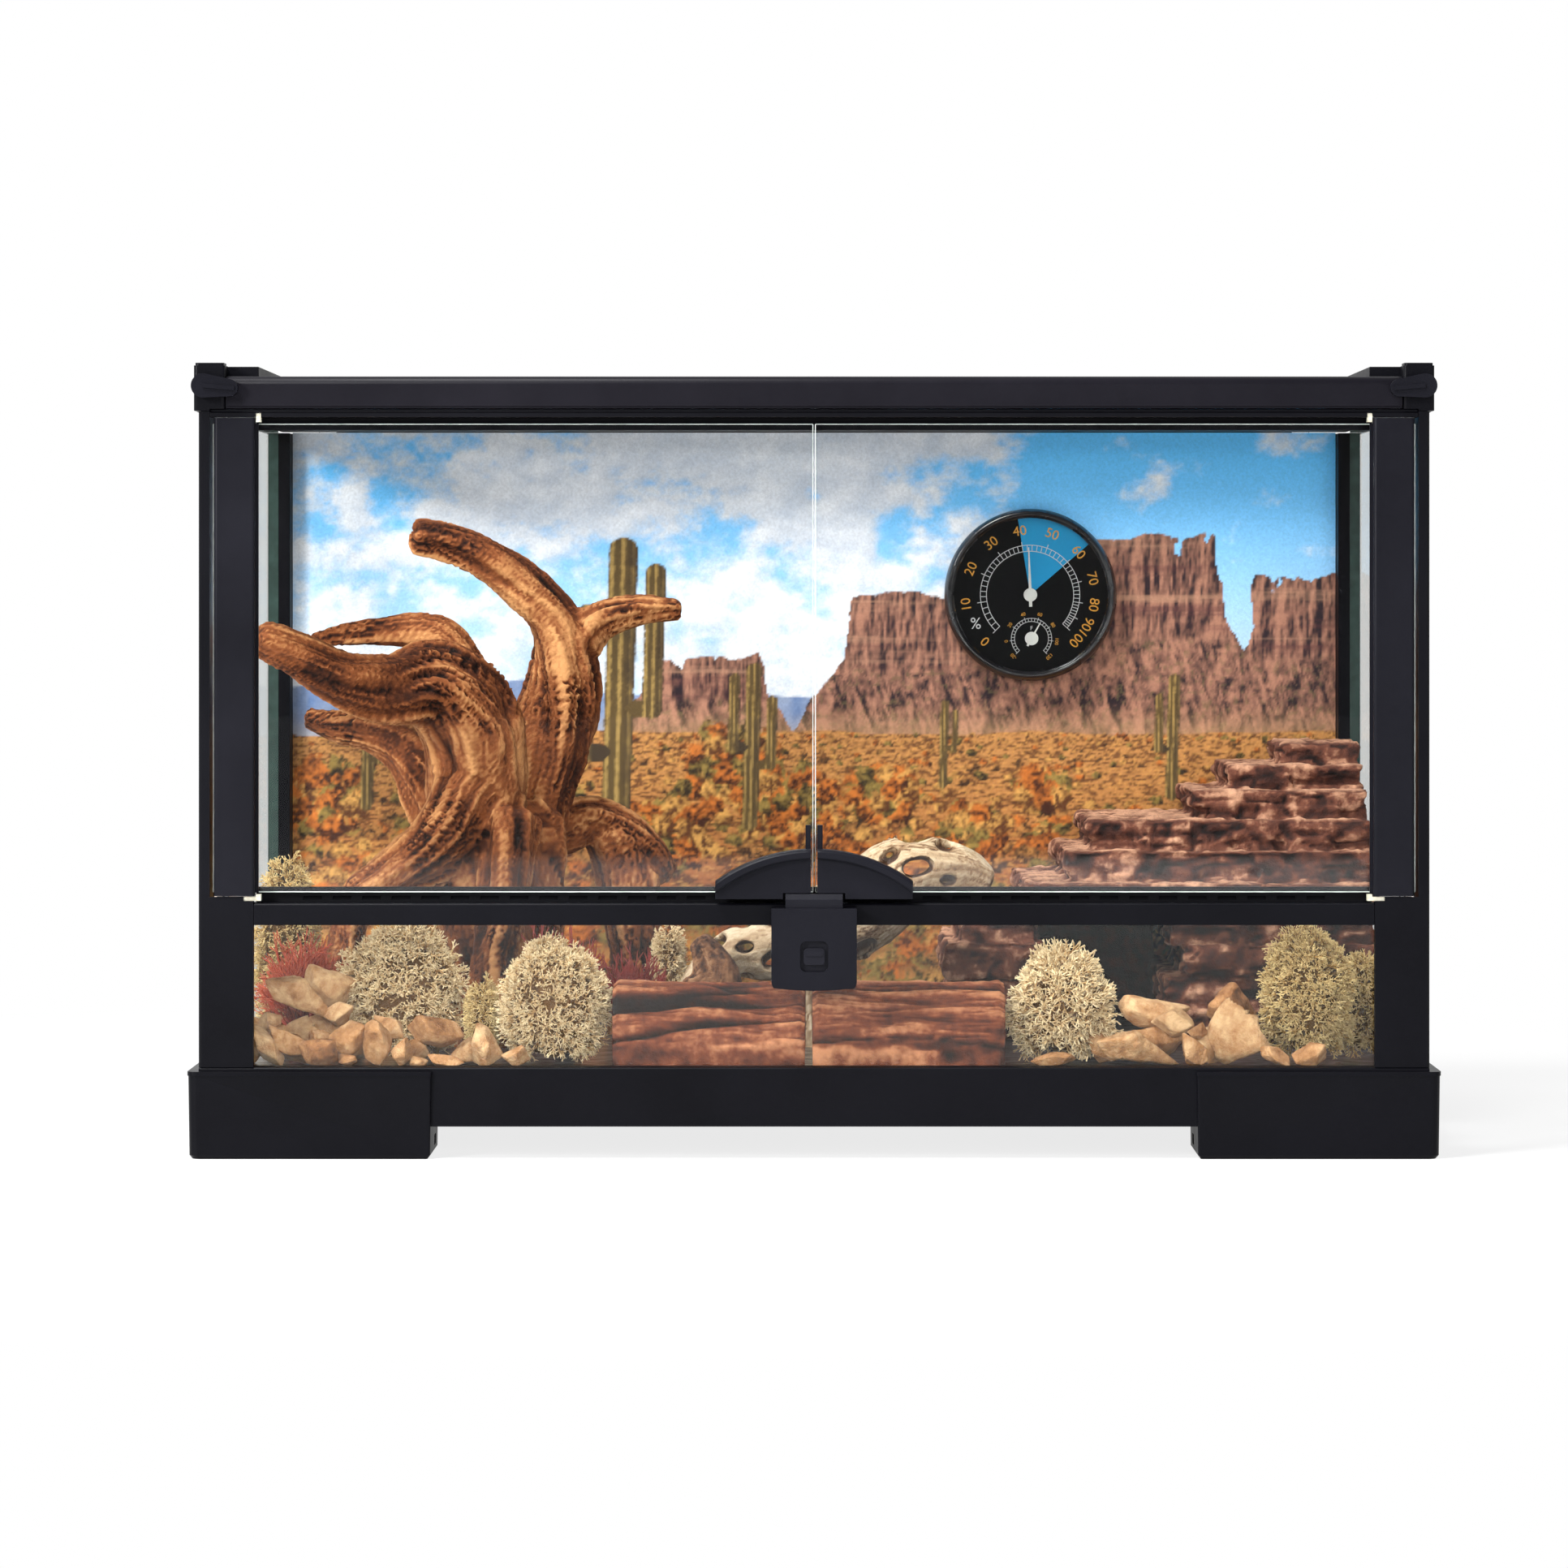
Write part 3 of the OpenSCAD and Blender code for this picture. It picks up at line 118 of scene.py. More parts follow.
def maths(tree, operation, a, b):
    """A Math node's value for a and b, which are values or sockets."""
    node = put(tree, "Math", operation=operation)
    for index, value in ((0, a), (1, b)):
        if isinstance(value, bpy.types.NodeSocket):
            tree.links.new(value, node.inputs[index])
        else:
            node.inputs[index].default_value = value
    return node.outputs[0]


def background_rays(tree, behind):
    """1 on camera and transmission rays, and on glossy ones as far as they look behind the tank."""
    path = put(tree, "LightPath")
    glossy = maths(tree, "MULTIPLY", path.outputs["Is Glossy Ray"], behind)
    direct = maths(tree, "MAXIMUM", path.outputs["Is Camera Ray"], path.outputs["Is Transmission Ray"])
    return maths(tree, "MAXIMUM", direct, glossy)


scene = bpy.context.scene
scene.view_settings.view_transform = "Standard"

world = bpy.data.worlds.new("studio")
scene.world = world
world.use_nodes = True
sky = world.node_tree
way = put(sky, "SeparateXYZ", Vector=put(sky, "TexCoord").outputs["Generated"])
room = spread(sky, way.outputs["Y"], -0.75, 0.35, 0.16, 1.0)
seen = background_rays(sky, spread(sky, way.outputs["Y"], 0.0, 0.5))
lit = mixed(sky, seen, mixed(sky, room, (0, 0, 0, 1), (0.62, 0.62, 0.62, 1)), (1, 1, 1, 1))
sky.links.new(lit, sky.nodes["Background"].inputs["Color"])

for name, place, aim, size, watts in (
    ("key", (-1.8, -2.1, 1.1), (0, 0, 0.12), 0.6, 82),
    ("fill", (1.7, -2.2, 0.8), (0, 0, 0.12), 1.2, 9),
    ("front", (0.2, -2.8, 0.6), (0, 0, 0.15), 0.6, 43),
    ("top", (-0.6, -0.7, 1.6), (0, 0.05, 0.1), 0.6, 60),
):
    lamp = bpy.data.lights.new(name, "AREA")
    lamp.size, lamp.energy = size, watts
    light = bpy.data.objects.new(name, lamp)
    scene.collection.objects.link(light)
    light.location = place
    light.visible_glossy = name != "front"
    light.rotation_mode = "QUATERNION"
    aimed = Vector(aim) - Vector(place)
    light.rotation_quaternion = aimed.to_track_quat("-Z", "Y")

lens = bpy.data.cameras.new("camera")
lens.sensor_width, lens.lens = 36, 140.4
lens.shift_x, lens.shift_y = -0.0192, -0.1144
lens.clip_start, lens.clip_end = 0.1, 50
camera = bpy.data.objects.new("camera", lens)
scene.collection.objects.link(camera)
camera.location = (0, -2.419, 0.2058)
camera.rotation_euler = (math.pi / 2, 0, 0)
scene.camera = camera

floor_mesh = bpy.data.meshes.new("floor")
floor_mesh.from_pydata(
    [(-9, -9, 0), (9, -9, 0), (9, 9, 0), (-9, 9, 0)], [], [(0, 1, 2, 3)]
)
floor = bpy.data.objects.new("floor", floor_mesh)
scene.collection.objects.link(floor)
paper, tree, bsdf = surface("paper", Roughness=0.9, Base_Color=linear(226, 226, 226))
at = put(tree, "TexCoord").outputs["Object"]
depth = put(tree, "SeparateXYZ", Vector=at).outputs["Y"]
seen = background_rays(tree, spread(tree, depth, -0.6, 0.2))
away = put(tree, "VectorMath", Vector=at, operation="LENGTH").outputs["Value"]
glow = put(tree, "Emission", Color=(1, 1, 1, 1), Strength=1.0)
joined = put(tree, "MixShader", Fac=maths(tree, "MULTIPLY", seen, spread(tree, away, 0.25, 0.75, 0.8, 1.0)))
tree.links.new(bsdf.outputs[0], joined.inputs[1])
tree.links.new(glow.outputs[0], joined.inputs[2])
tree.links.new(joined.outputs[0], tree.nodes["Material Output"].inputs["Surface"])
floor_mesh.materials.append(paper)

# Frame. Injection-moulded black plastic, cool and faintly grained, a little glossier where it is
# handled. Boots stand under the base rails; posts, rails and rim are slotted and glued to the glass.


def moulded(name, colour, rough, grain=0.0005, relief=0.00004):
    """Moulded plastic: even colour, fine mould grain in the relief, and a broad drift of the gloss."""
    mat, tree, bsdf = surface(name, Specular_IOR_Level=0.07)
    at = put(tree, "TexCoord").outputs["Object"]
    broad = put(tree, "TexNoise", Vector=at, Scale=14.0, Detail=5.0, Roughness=0.6).outputs["Fac"]
    fine = put(tree, "TexNoise", Vector=at, Scale=1 / grain, Detail=2.0).outputs["Fac"]
    dark = tuple(c * 0.78 for c in colour[:3]) + (1.0,)
    pale = tuple(c * 1.25 for c in colour[:3]) + (1.0,)
    tree.links.new(shades(tree, broad, (0.32, dark), (0.7, pale)), bsdf.inputs["Base Color"])
    tree.links.new(spread(tree, broad, 0.3, 0.72, rough - 0.05, rough + 0.07), bsdf.inputs["Roughness"])
    bump(tree, bsdf, fine, relief)
    return mat


def dress(mat, *names, edge=0.0):
    """Gives CAD nodes a material, and softens their sharp edges by that width."""
    for name in names:
        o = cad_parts[name]
        for material_slot in o.material_slots:
            material_slot.link = "OBJECT"
            material_slot.material = mat
        if edge:
            weld = o.modifiers.new("weld", "WELD")
            weld.merge_threshold = 0.00001
            soft = o.modifiers.new("edge", "BEVEL")
            soft.width, soft.segments = edge, 2
            soft.limit_method, soft.angle_limit = "ANGLE", math.radians(40)
            soft.harden_normals = True


sides = ("left", "right")
frame_black = moulded("frame_black", linear(8, 8, 12), 0.4)
boot_black = moulded("boot_black", linear(8, 8, 12), 0.36, grain=0.0007)
dress(boot_black, *[f"foot_{end}_{side}" for end in ("front", "rear") for side in sides], edge=0.0004)
dress(frame_black, "base_front_rail", "base_rear_rail", "base_left_rail", "base_right_rail", edge=0.0003)
dress(frame_black, "front_left_post", "front_right_post", "rear_left_post", "rear_right_post", edge=0.0003)
dress(frame_black, "mid_rail", "header_rail", "rim_left_rail", "rim_right_rail", "rim_rear_rail", edge=0.0003)
dress(frame_black, "corner_block_left", "corner_block_right", edge=0.0003)
dress(moulded("vent_black", linear(14, 14, 17), 0.5), "vent_strip")

# Glass. Clear float panes with green cut edges: two sides, a back, a low fixed window set in the channel of the front
# rail, and two doors, whose cut edges are coloured near-white as a painted highlight; the floor is backed in black.


def pane(name, axis, edge):
    """Clear glass whose faces across the axis are see-through and whose cut edges are coloured."""
    mat, tree, bsdf = surface(name, Roughness=0.25, Specular_IOR_Level=0.5)
    coords = put(tree, "TexCoord")
    normal = put(tree, "SeparateXYZ", Vector=coords.outputs["Normal"]).outputs[axis]
    side = spread(tree, maths(tree, "ABSOLUTE", normal, 0), 0.96, 0.86)
    streak = put(tree, "TexNoise", Vector=coords.outputs["Object"], Scale=220.0, Detail=3.0).outputs["Fac"]
    dark = tuple(c * 0.6 for c in edge[:3]) + (1.0,)
    tree.links.new(shades(tree, streak, (0.3, dark), (0.7, edge)), bsdf.inputs["Base Color"])
    through = put(tree, "BsdfTransparent", Color=(0.988, 0.994, 0.991, 1))
    mirror = put(tree, "BsdfGlossy", Roughness=0.015, Color=(1, 1, 1, 1))
    fresnel = put(tree, "Fresnel", IOR=1.45).outputs[0]
    sheen = put(tree, "MixShader", Fac=maths(tree, "MULTIPLY", fresnel, 0.3))
    tree.links.new(through.outputs[0], sheen.inputs[1])
    tree.links.new(mirror.outputs[0], sheen.inputs[2])
    both = put(tree, "MixShader", Fac=side)
    tree.links.new(sheen.outputs[0], both.inputs[1])
    tree.links.new(bsdf.outputs[0], both.inputs[2])
    tree.links.new(both.outputs[0], tree.nodes["Material Output"].inputs["Surface"])
    return mat


green_cut = linear(46, 66, 60)
dress(pane("side_glass", "X", green_cut), "left_side_pane", "right_side_pane")
dress(pane("face_glass", "Y", green_cut), "back_pane", "front_window")
floor_dark, tree, bsdf = surface("floor_glass", Coat_Weight=0.5, Coat_Roughness=0.1)
dust = put(tree, "TexNoise", Vector=put(tree, "TexCoord").outputs["Object"], Scale=120.0, Detail=6.0).outputs["Fac"]
tree.links.new(shades(tree, dust, (0.4, linear(8, 8, 9)), (0.75, linear(34, 30, 26))), bsdf.inputs["Base Color"])
tree.links.new(spread(tree, dust, 0.3, 0.7, 0.25, 0.6), bsdf.inputs["Roughness"])
dress(floor_dark, "floor_pane")
# Painted highlight: the doors' cut edges and their rounding take a near-white colour in place of light caught along
# them.
dress(pane("door_glass", "Y", linear(236, 244, 240)), "left_door_pane", "right_door_pane", edge=0.0004)

# Backdrop. A thin printed sheet leaning on the back pane: a desert under a clouded sky, painted
# here by formulas into the colours of a fine grid, with buttes and column cacti of its own.


def noise(p, size, seed=0, octaves=1, gain=0.5):
    """Smooth noise from -1 to 1 at points p: random corners of a cubic grid of that size, eased
    between, summed over octaves that each double the detail and scale the strength by gain."""
    q = np.asarray(p, float) / size
    total, strength, whole = np.zeros(len(q)), 1.0, 0.0
    for octave in range(octaves):
        cell = np.floor(q).astype(np.int64)
        part = q - cell
        part = part * part * (3 - 2 * part)
        value = np.zeros(len(q))
        for corner in range(8):
            step = np.array([corner & 1, corner >> 1 & 1, corner >> 2 & 1])
            c = cell + step
            h = c[:, 0] * 73856093 ^ c[:, 1] * 19349663 ^ c[:, 2] * 83492791 ^ (seed * 7919 + octave * 104729)
            h = (h ^ (h >> 13)) * 1274126177
            h = (h ^ (h >> 16)) & 0xFFFF
            value += np.prod(np.where(step, part, 1 - part), axis=1) * h
        total += strength * (value / 32767.5 - 1)
        whole += strength
        strength *= gain
        q = q * 2.03 + 17.37
    return total / whole


def ease(x, low, high):
    """0 at low, 1 at high, and smooth between them."""
    t = np.clip((x - low) / (high - low), 0, 1)
    return t * t * (3 - 2 * t)


def make(name, points, faces, mat, slot, replaced=(), body="tank", smooth=True, **fields):
    """An object from arrays of points and of faces with one number of corners, with extra fields
    of one value or one colour for each point. It rides on the body and stands for CAD nodes."""
    mesh = bpy.data.meshes.new(name)
    faces = np.asarray(faces, np.int32)
    mesh.vertices.add(len(points))
    mesh.vertices.foreach_set("co", np.asarray(points, np.float32).ravel())
    mesh.loops.add(faces.size)
    mesh.loops.foreach_set("vertex_index", faces.ravel())
    mesh.polygons.add(len(faces))
    mesh.polygons.foreach_set("loop_start", np.arange(0, faces.size, faces.shape[1], dtype=np.int32))
    mesh.update(calc_edges=True)
    mesh.validate()
    if smooth:
        mesh.shade_smooth()
    for key, values in fields.items():
        values = np.asarray(values, np.float32)
        if values.ndim == 2:
            field = mesh.attributes.new(key, "FLOAT_COLOR", "POINT")
            field.data.foreach_set("color", np.c_[values, np.ones(len(values))].astype(np.float32).ravel())
        else:
            mesh.attributes.new(key, "FLOAT", "POINT").data.foreach_set("value", values)
    mesh.materials.append(mat)
    o = bpy.data.objects.new(name, mesh)
    scene.collection.objects.link(o)
    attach(o, body)
    if replaced:
        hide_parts(*replaced)
    return o


def desert(x, z):
    """The colours at places on the sheet, in mm from its middle and its foot: sky and cloud, far
    hills, buttes of banded rock with talus under them, a plain of scrub, thorn trees and cacti."""
    flat = np.c_[x, z, np.zeros(len(x))]

    def ink(*rgb):
        return np.array(linear(*rgb)[:3])

    def over(colour, amount, new):
        amount = np.clip(amount, 0, 1)[:, None]
        return colour * (1 - amount) + np.asarray(new) * amount

    def fill(*rgb):
        return np.tile(ink(*rgb), (len(x), 1))

    def lit(relief, shift, gain):
        """Light from the upper left on a relief, from its change over a small shift."""
        return np.clip(0.5 + gain * (relief(flat) - relief(flat + [-shift, shift, 0])), 0, 1)

    def billow(p):
        return 0.5 * noise(p * [0.6, 1, 1], 36, 3, 3) + 0.75 * noise(p * [0.75, 1.05, 1], 12, 4, 5, 0.6)

    colour = over(fill(184, 206, 224), ease(z, 116, 245), ink(92, 192, 254))
    thick = billow(flat) + 0.24 - 0.62 * ease(x, -10, 150) + 0.1 * ease(z, 150, 240)
    cloud = over(fill(206, 212, 222), lit(billow, 4.0, 1.6), ink(238, 239, 242))
    colour = over(colour, ease(thick, -0.12, 0.34) * 0.92, cloud)

    hill = 133 + 10 * noise(flat * [1, 0, 0], 46, 8, 4) + 6 * ease(x, 40, -160)
    far = over(fill(96, 122, 166), lit(lambda p: noise(p * [1, 0.6, 1], 9, 9, 3), 1.5, 2.0), ink(142, 156, 184))
    colour = over(colour, ease(hill - z, -0.3, 0.5), over(far, ease(z, 130, 114) * 0.6, ink(178, 168, 160)))

    buttes = ((-70, -24, 150), (16, 96, 176), (118, 168, 200), (186, 240, 184), (-160, -132, 142))
    rock_top, cliff_foot = np.full(len(x), 96.0), np.full(len(x), 96.0)
    for left, right, top in buttes:
        away = np.maximum(np.maximum(left - x, x - right), 0) + 3.0 * noise(flat * [1, 0.5, 1], 8, int(top), 4, 0.6)
        brow = top + 3.5 * noise(flat * [1, 0, 0], 11, int(top) + 1, 4, 0.6)
        cliff = 112 + (brow - 112) * (1 - 0.38 * ease(away, 0, 4.0))
        slope = cliff - np.maximum(away - 3, 0) * (0.8 + 0.004 * top)
        higher = slope > rock_top
        rock_top = np.maximum(rock_top, slope)
        cliff_foot = np.where(higher, 112 + (top - 112) * 0.52 + 5 * noise(flat * [1, 0, 0], 14, int(top) + 2, 3), cliff_foot)

    def crags(p):
        return 1.3 * noise(p * [1, 0.2, 1], 5.5, 14, 5, 0.62) + 0.9 * noise(p * [0.8, 1, 1], 16, 15, 4)

    def gullies(p):
        bent = p + [0.0, 0.0, 0.0] + np.c_[0.4 * p[:, 1], 0 * p[:, :2]]
        return 1 - np.abs(noise(bent * [1, 0.5, 1], 13, 16, 5, 0.6)) * 2

    steep = ease(z - cliff_foot, -2.0, 3.0)
    light = lit(crags, 1.1, 2.0) * steep + lit(gullies, 1.4, 2.4) * (1 - steep)
    layer = noise(flat * [0.04, 1, 1], 4.5, 12, 4, 0.7)
    rock = over(fill(32, 20, 28), light, ink(168, 118, 96))
    rock = over(rock, ease(layer, 0.05, 0.45) * 0.45 * steep, ink(188, 142, 114))
    rock = over(rock, ease(-layer, 0.1, 0.5) * 0.5 * steep, ink(84, 44, 46))
    speck = noise(flat, 1.5, 17, 2)
    rock = over(rock, ease(speck, 0.2, 0.6) * 0.5 * (1 - steep), ink(104, 92, 60))
    rock = over(rock, ease(z, 132, 108) * 0.5, ink(206, 160, 112))
    colour = over(colour, ease(rock_top - z, -0.2, 0.4), rock)

    edge = 118 + 2.0 * noise(flat * [1, 0, 0], 30, 20, 4)
    deep = np.clip((119 - z) / 119, 0.03, 1)
    laid = np.c_[x / (0.3 + 1.2 * deep), z / (0.1 + 0.5 * deep), np.zeros(len(x))]
    plain = over(fill(182, 126, 70), ease(z, 112, 20), ink(150, 76, 29))
    plain = over(plain, ease(noise(laid, 5, 21, 5, 0.6), -0.2, 0.3) * 0.85, ink(74, 38, 17))
    plain = over(plain, ease(noise(laid, 3, 22, 4, 0.6), 0.05, 0.45) * 0.6, ink(206, 148, 76))
    colour = over(colour, ease(edge - z, -0.3, 0.6), plain)

    # Scrub from far to near, each bush a tuft of noise lit from the upper left
    leaf, grain = noise(flat, 1.5, 23, 3, 0.6), noise(flat, 5.0, 24, 3)
    draw = np.random.default_rng(5)
    kinds = (((208, 154, 80), (84, 46, 20)), ((196, 110, 42), (56, 24, 10)), ((142, 118, 58), (34, 26, 15)),
             ((178, 122, 64), (48, 27, 15)))
    shrubs = [(draw.uniform(-225, 225), 117 - 117 * k ** 1.5, 1.0, int(draw.integers(4))) for k in np.sort(draw.uniform(0, 1, 1100))]
    for middle, foot, tall in ((-206, 72, 34), (-160, 60, 26), (-34, 76, 46), (-8, 64, 40), (28, 78, 26), (66, 62, 24), (96, 84, 18), (-60, 58, 30)):
        for k in range(80):
            turn, out = draw.uniform(0, 2 * np.pi), draw.uniform(0, 1) ** 0.6
            shrubs.append((middle + tall * 0.52 * out * np.cos(turn), foot + tall * (0.55 + 0.42 * out * np.sin(turn)), 0.0, (1, 2, 1, 0)[k % 4]))
        shrubs.append((middle, foot, -tall, 1))
    for bx, bz, on_ground, kind in shrubs:
        size = (1.2 + 11.0 * ((118 - max(bz, 0)) / 118) ** 1.3) if on_ground > 0 else 5.2
        wide, high = (size * 1.15, size * 0.85) if on_ground > 0 else (size, size)
        if on_ground < 0:
            continue
        part = np.flatnonzero((np.abs(x - bx) < 1.5 * wide) & (np.abs(z - bz) < 1.5 * high))
        px, pz = (x[part] - bx) / wide, (z[part] - bz) / high
        out = np.hypot(px, pz) + 0.55 * leaf[part] + 0.3 * grain[part]
        bright = np.clip(0.45 + 0.42 * pz - 0.3 * px + 1.3 * leaf[part] + 0.5 * grain[part], 0, 1)[:, None]
        bush = ink(*kinds[kind][1]) * (1 - bright) + ink(*kinds[kind][0]) * bright
        here = ease(-out, -0.95, -0.7)[:, None] * 0.95
        colour[part] = colour[part] * (1 - here) + bush * here

    for foot_x, foot_z, high, wide, arms in (
        (-84, 62, 132, 6.2, ((-1, 0.36, 15, 0.80), (1, 0.5, 14, 0.93))),
        (-118, 74, 70, 4.2, ((1, 0.45, 9, 0.86),)),
        (-27, 80, 64, 3.4, ((-1, 0.5, 8, 0.95), (1, 0.38, 8, 0.8))),
        (54, 96, 34, 1.9, ((1, 0.45, 4.5, 0.9),)),
        (150, 92, 48, 2.7, ((-1, 0.4, 6, 0.85),)),
        (-188, 88, 44, 2.8, ((1, 0.42, 6, 0.9),)),
    ):
        sx = x - foot_x - 0.03 * (z - foot_z)
        column = np.hypot(sx, np.maximum(np.maximum(foot_z - z, z - foot_z - high), 0)) - wide
        rib_at = sx / wide
        for turn, start, reach, top in arms:
            mid_x, low, tip = turn * reach, foot_z + start * high, foot_z + top * high
            along = np.clip(sx / mid_x, 0, 1) * mid_x
            bow = np.hypot(sx - along, z - low) - wide * 0.62
            rise = np.hypot(sx - mid_x, np.maximum(np.maximum(low - z, z - tip), 0)) - wide * 0.7
            arm = np.minimum(bow, rise)
            rib_at = np.where(arm < column, (sx - mid_x) / (0.7 * wide), rib_at)
            column = np.minimum(column, arm)
        ribs = np.cos(np.clip(rib_at, -1, 1) * 8.5) + 0.8 * leaf
        skin = over(fill(84, 66, 36), ease(ribs, -0.2, 1.2) * 0.6, ink(190, 156, 88))
        skin = over(skin, ease(rib_at + 0.4 * grain, 0.0, 1.0) * 0.85, ink(52, 40, 30))
        colour = over(colour, ease(-column - 0.5 * leaf, -0.2, 0.4), skin)
    return colour


printed, tree, bsdf = surface("printed_sheet", Roughness=0.5, Specular_IOR_Level=0.3)
at = put(tree, "TexCoord").outputs["Object"]
tone = put(tree, "Attribute", attribute_name="paint").outputs["Color"]
crisp = put(tree, "TexNoise", Vector=at, Scale=1100.0, Detail=5.0, Roughness=0.7).outputs["Fac"]
grain = shades(tree, crisp, (0.3, (0.86, 0.86, 0.86, 1)), (0.7, (1.16, 1.16, 1.16, 1)))
tree.links.new(mixed(tree, 1.0, tone, grain, "MULTIPLY"), bsdf.inputs["Base Color"])
sheet_low, sheet_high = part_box("backdrop")
middle = (sheet_low.x + sheet_high.x) / 2
across, upward = 281, 314
for number, (x0, x1) in enumerate(((sheet_low.x, middle), (middle, sheet_high.x))):
    gx, gz = np.meshgrid(np.linspace(x0, x1, across), np.linspace(sheet_low.z, sheet_high.z, upward))
    points = np.c_[gx.ravel(), np.full(gx.size, sheet_low.y), gz.ravel()]
    n = len(points)
    corners = np.array([0, across - 1, n - 1, n - across])
    paint = np.r_[desert((points[:, 0] - middle) * 1000, (points[:, 2] - sheet_low.z) * 1000),
                  np.tile(linear(196, 192, 184)[:3], (4, 1))]
    points = np.r_[points, points[corners] + [0, sheet_high.y - sheet_low.y, 0]]
    cell = (np.arange(across - 1)[None, :] + np.arange(upward - 1)[:, None] * across).ravel()
    faces = [[c, c + 1, c + 1 + across, c + across] for c in cell]
    faces += [[corners[k], n + k, n + (k + 1) % 4, corners[(k + 1) % 4]] for k in range(4)]
    faces.append([n + 3, n + 2, n + 1, n])
    make(f"backdrop_print_{number + 1}", points, faces, printed, "backdrop_print", ["backdrop"], smooth=False, paint=paint)

# Doors. Each glass door hangs from a black stile bonded to its face, which turns on steel pins
# in off-white nylon bushings; a half-moon pull is glued over the meeting edges.

nylon, tree, bsdf = surface("nylon", Roughness=0.45, Subsurface_Weight=0.1)
at = put(tree, "TexCoord").outputs["Object"]
worn = put(tree, "TexNoise", Vector=at, Scale=500.0, Detail=3.0).outputs["Fac"]
tree.links.new(shades(tree, worn, (0.3, linear(150, 144, 126)), (0.7, linear(188, 182, 164))), bsdf.inputs["Base Color"])
dress(nylon, "lower_bushings", "upper_bushings")


def drawn_steel(name, colour):
    """Bright wire: metal with fine drawing lines along its length in the gloss."""
    mat, tree, bsdf = surface(name, Metallic=1.0)
    at = put(tree, "TexCoord").outputs["Object"]
    stretched = put(tree, "Mapping", Vector=at, Scale=(4000, 4000, 60)).outputs["Vector"]
    lines = put(tree, "TexNoise", Vector=stretched, Scale=1.0, Detail=2.0).outputs["Fac"]
    tree.links.new(spread(tree, lines, 0.3, 0.7, 0.2, 0.42), bsdf.inputs["Roughness"])
    dark = tuple(c * 0.7 for c in colour[:3]) + (1.0,)
    tree.links.new(shades(tree, lines, (0.3, dark), (0.7, colour)), bsdf.inputs["Base Color"])
    return mat


dress(drawn_steel("pin_steel", linear(190, 190, 192)), "left_door_pins", "right_door_pins")
trim_black = moulded("trim_black", linear(16, 16, 21), 0.38, grain=0.0004)
dress(trim_black, "left_door_stile", "right_door_stile", edge=0.0003)
dress(trim_black, "left_door_handle", "right_door_handle", edge=0.0005)

# Centre latch. A hollow black housing hung from the mid rail; its sprung slide carries a thumb
# button in the window and a hook that stands in the notch of the pulls.

latch_black = moulded("latch_black", linear(16, 16, 21), 0.34, grain=0.0004)
dress(latch_black, "latch_housing", edge=0.0004)
dress(moulded("button_black", linear(20, 20, 25), 0.3), "latch_slide", edge=0.0003)
dress(drawn_steel("spring_wire", linear(176, 176, 178)), "latch_spring")

# Lid. A moulded frame with a broad front bar and a fine steel screen in its slot, kept down by
# two teardrop levers that turn on studs in the corner blocks.

dress(moulded("lid_black", linear(16, 15, 20), 0.4), "lid_frame", edge=0.0006)
dress(moulded("lever_black", linear(16, 16, 21), 0.33), "turn_latch_left", "turn_latch_right", edge=0.0005)
dress(frame_black, "turn_latch_pivots", edge=0.0002)


def woven(low, high, pitch, wire, layer):
    """Straight wires of square section crossing in two layers: boxes along X, then boxes along Y."""
    boxes = []
    for axis in (0, 1):
        count = int((high[1 - axis] - low[1 - axis]) / pitch)
        for i in range(count + 1):
            a, b = np.array(low, float), np.array(high, float)
            a[1 - axis] = low[1 - axis] + i * pitch
            b[1 - axis] = a[1 - axis] + wire
            a[2] = low[2] + axis * layer
            b[2] = a[2] + wire
            boxes.append((a, b))
    corners = np.array([[k & 1, k >> 1 & 1, k >> 2 & 1] for k in range(8)])
    quads = np.array([[0, 2, 3, 1], [4, 5, 7, 6], [0, 1, 5, 4], [2, 6, 7, 3], [0, 4, 6, 2], [1, 3, 7, 5]])
    points = np.concatenate([a + (b - a) * corners for a, b in boxes])
    faces = np.concatenate([quads + 8 * i for i in range(len(boxes))])
    return points, faces


low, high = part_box("lid_screen")
points, faces = woven((low.x, low.y, low.z + 0.0001), (high.x - 0.0003, high.y - 0.0003, high.z), 0.0019, 0.0003, 0.00028)
screen_black, tree, bsdf = surface("screen_black", Metallic=0.6)
at = put(tree, "TexCoord").outputs["Object"]
coat = put(tree, "TexNoise", Vector=at, Scale=900.0, Detail=2.0).outputs["Fac"]
tree.links.new(shades(tree, coat, (0.3, linear(24, 24, 26)), (0.7, linear(52, 52, 56))), bsdf.inputs["Base Color"])
tree.links.new(spread(tree, coat, 0.3, 0.7, 0.35, 0.6), bsdf.inputs["Roughness"])
make("screen_wires", points, faces, screen_black, "screen_steel", ["lid_screen"], body="lid", smooth=False)

# Gauge. A glossy black case glued to the backdrop, with a printed dial of humidity and a small
# one of temperature, their coil-driven needles, and a clear lens.

case_black, tree, bsdf = surface("case_black", Coat_Weight=0.6, Coat_Roughness=0.06)
at = put(tree, "TexCoord").outputs["Object"]
broad = put(tree, "TexNoise", Vector=at, Scale=60.0, Detail=4.0).outputs["Fac"]
tree.links.new(shades(tree, broad, (0.3, linear(12, 12, 14)), (0.7, linear(22, 22, 25))), bsdf.inputs["Base Color"])
tree.links.new(spread(tree, broad, 0.3, 0.7, 0.2, 0.32), bsdf.inputs["Roughness"])
dress(case_black, "gauge_case", edge=0.0002)
dial_black = moulded("dial_black", linear(9, 9, 11), 0.55)
dress(dial_black, "gauge_dial")
lens_clear, tree, bsdf = surface("lens_clear")
through = put(tree, "BsdfTransparent", Color=(0.97, 0.97, 0.97, 1))
mirror = put(tree, "BsdfGlossy", Color=(1, 1, 1, 1))
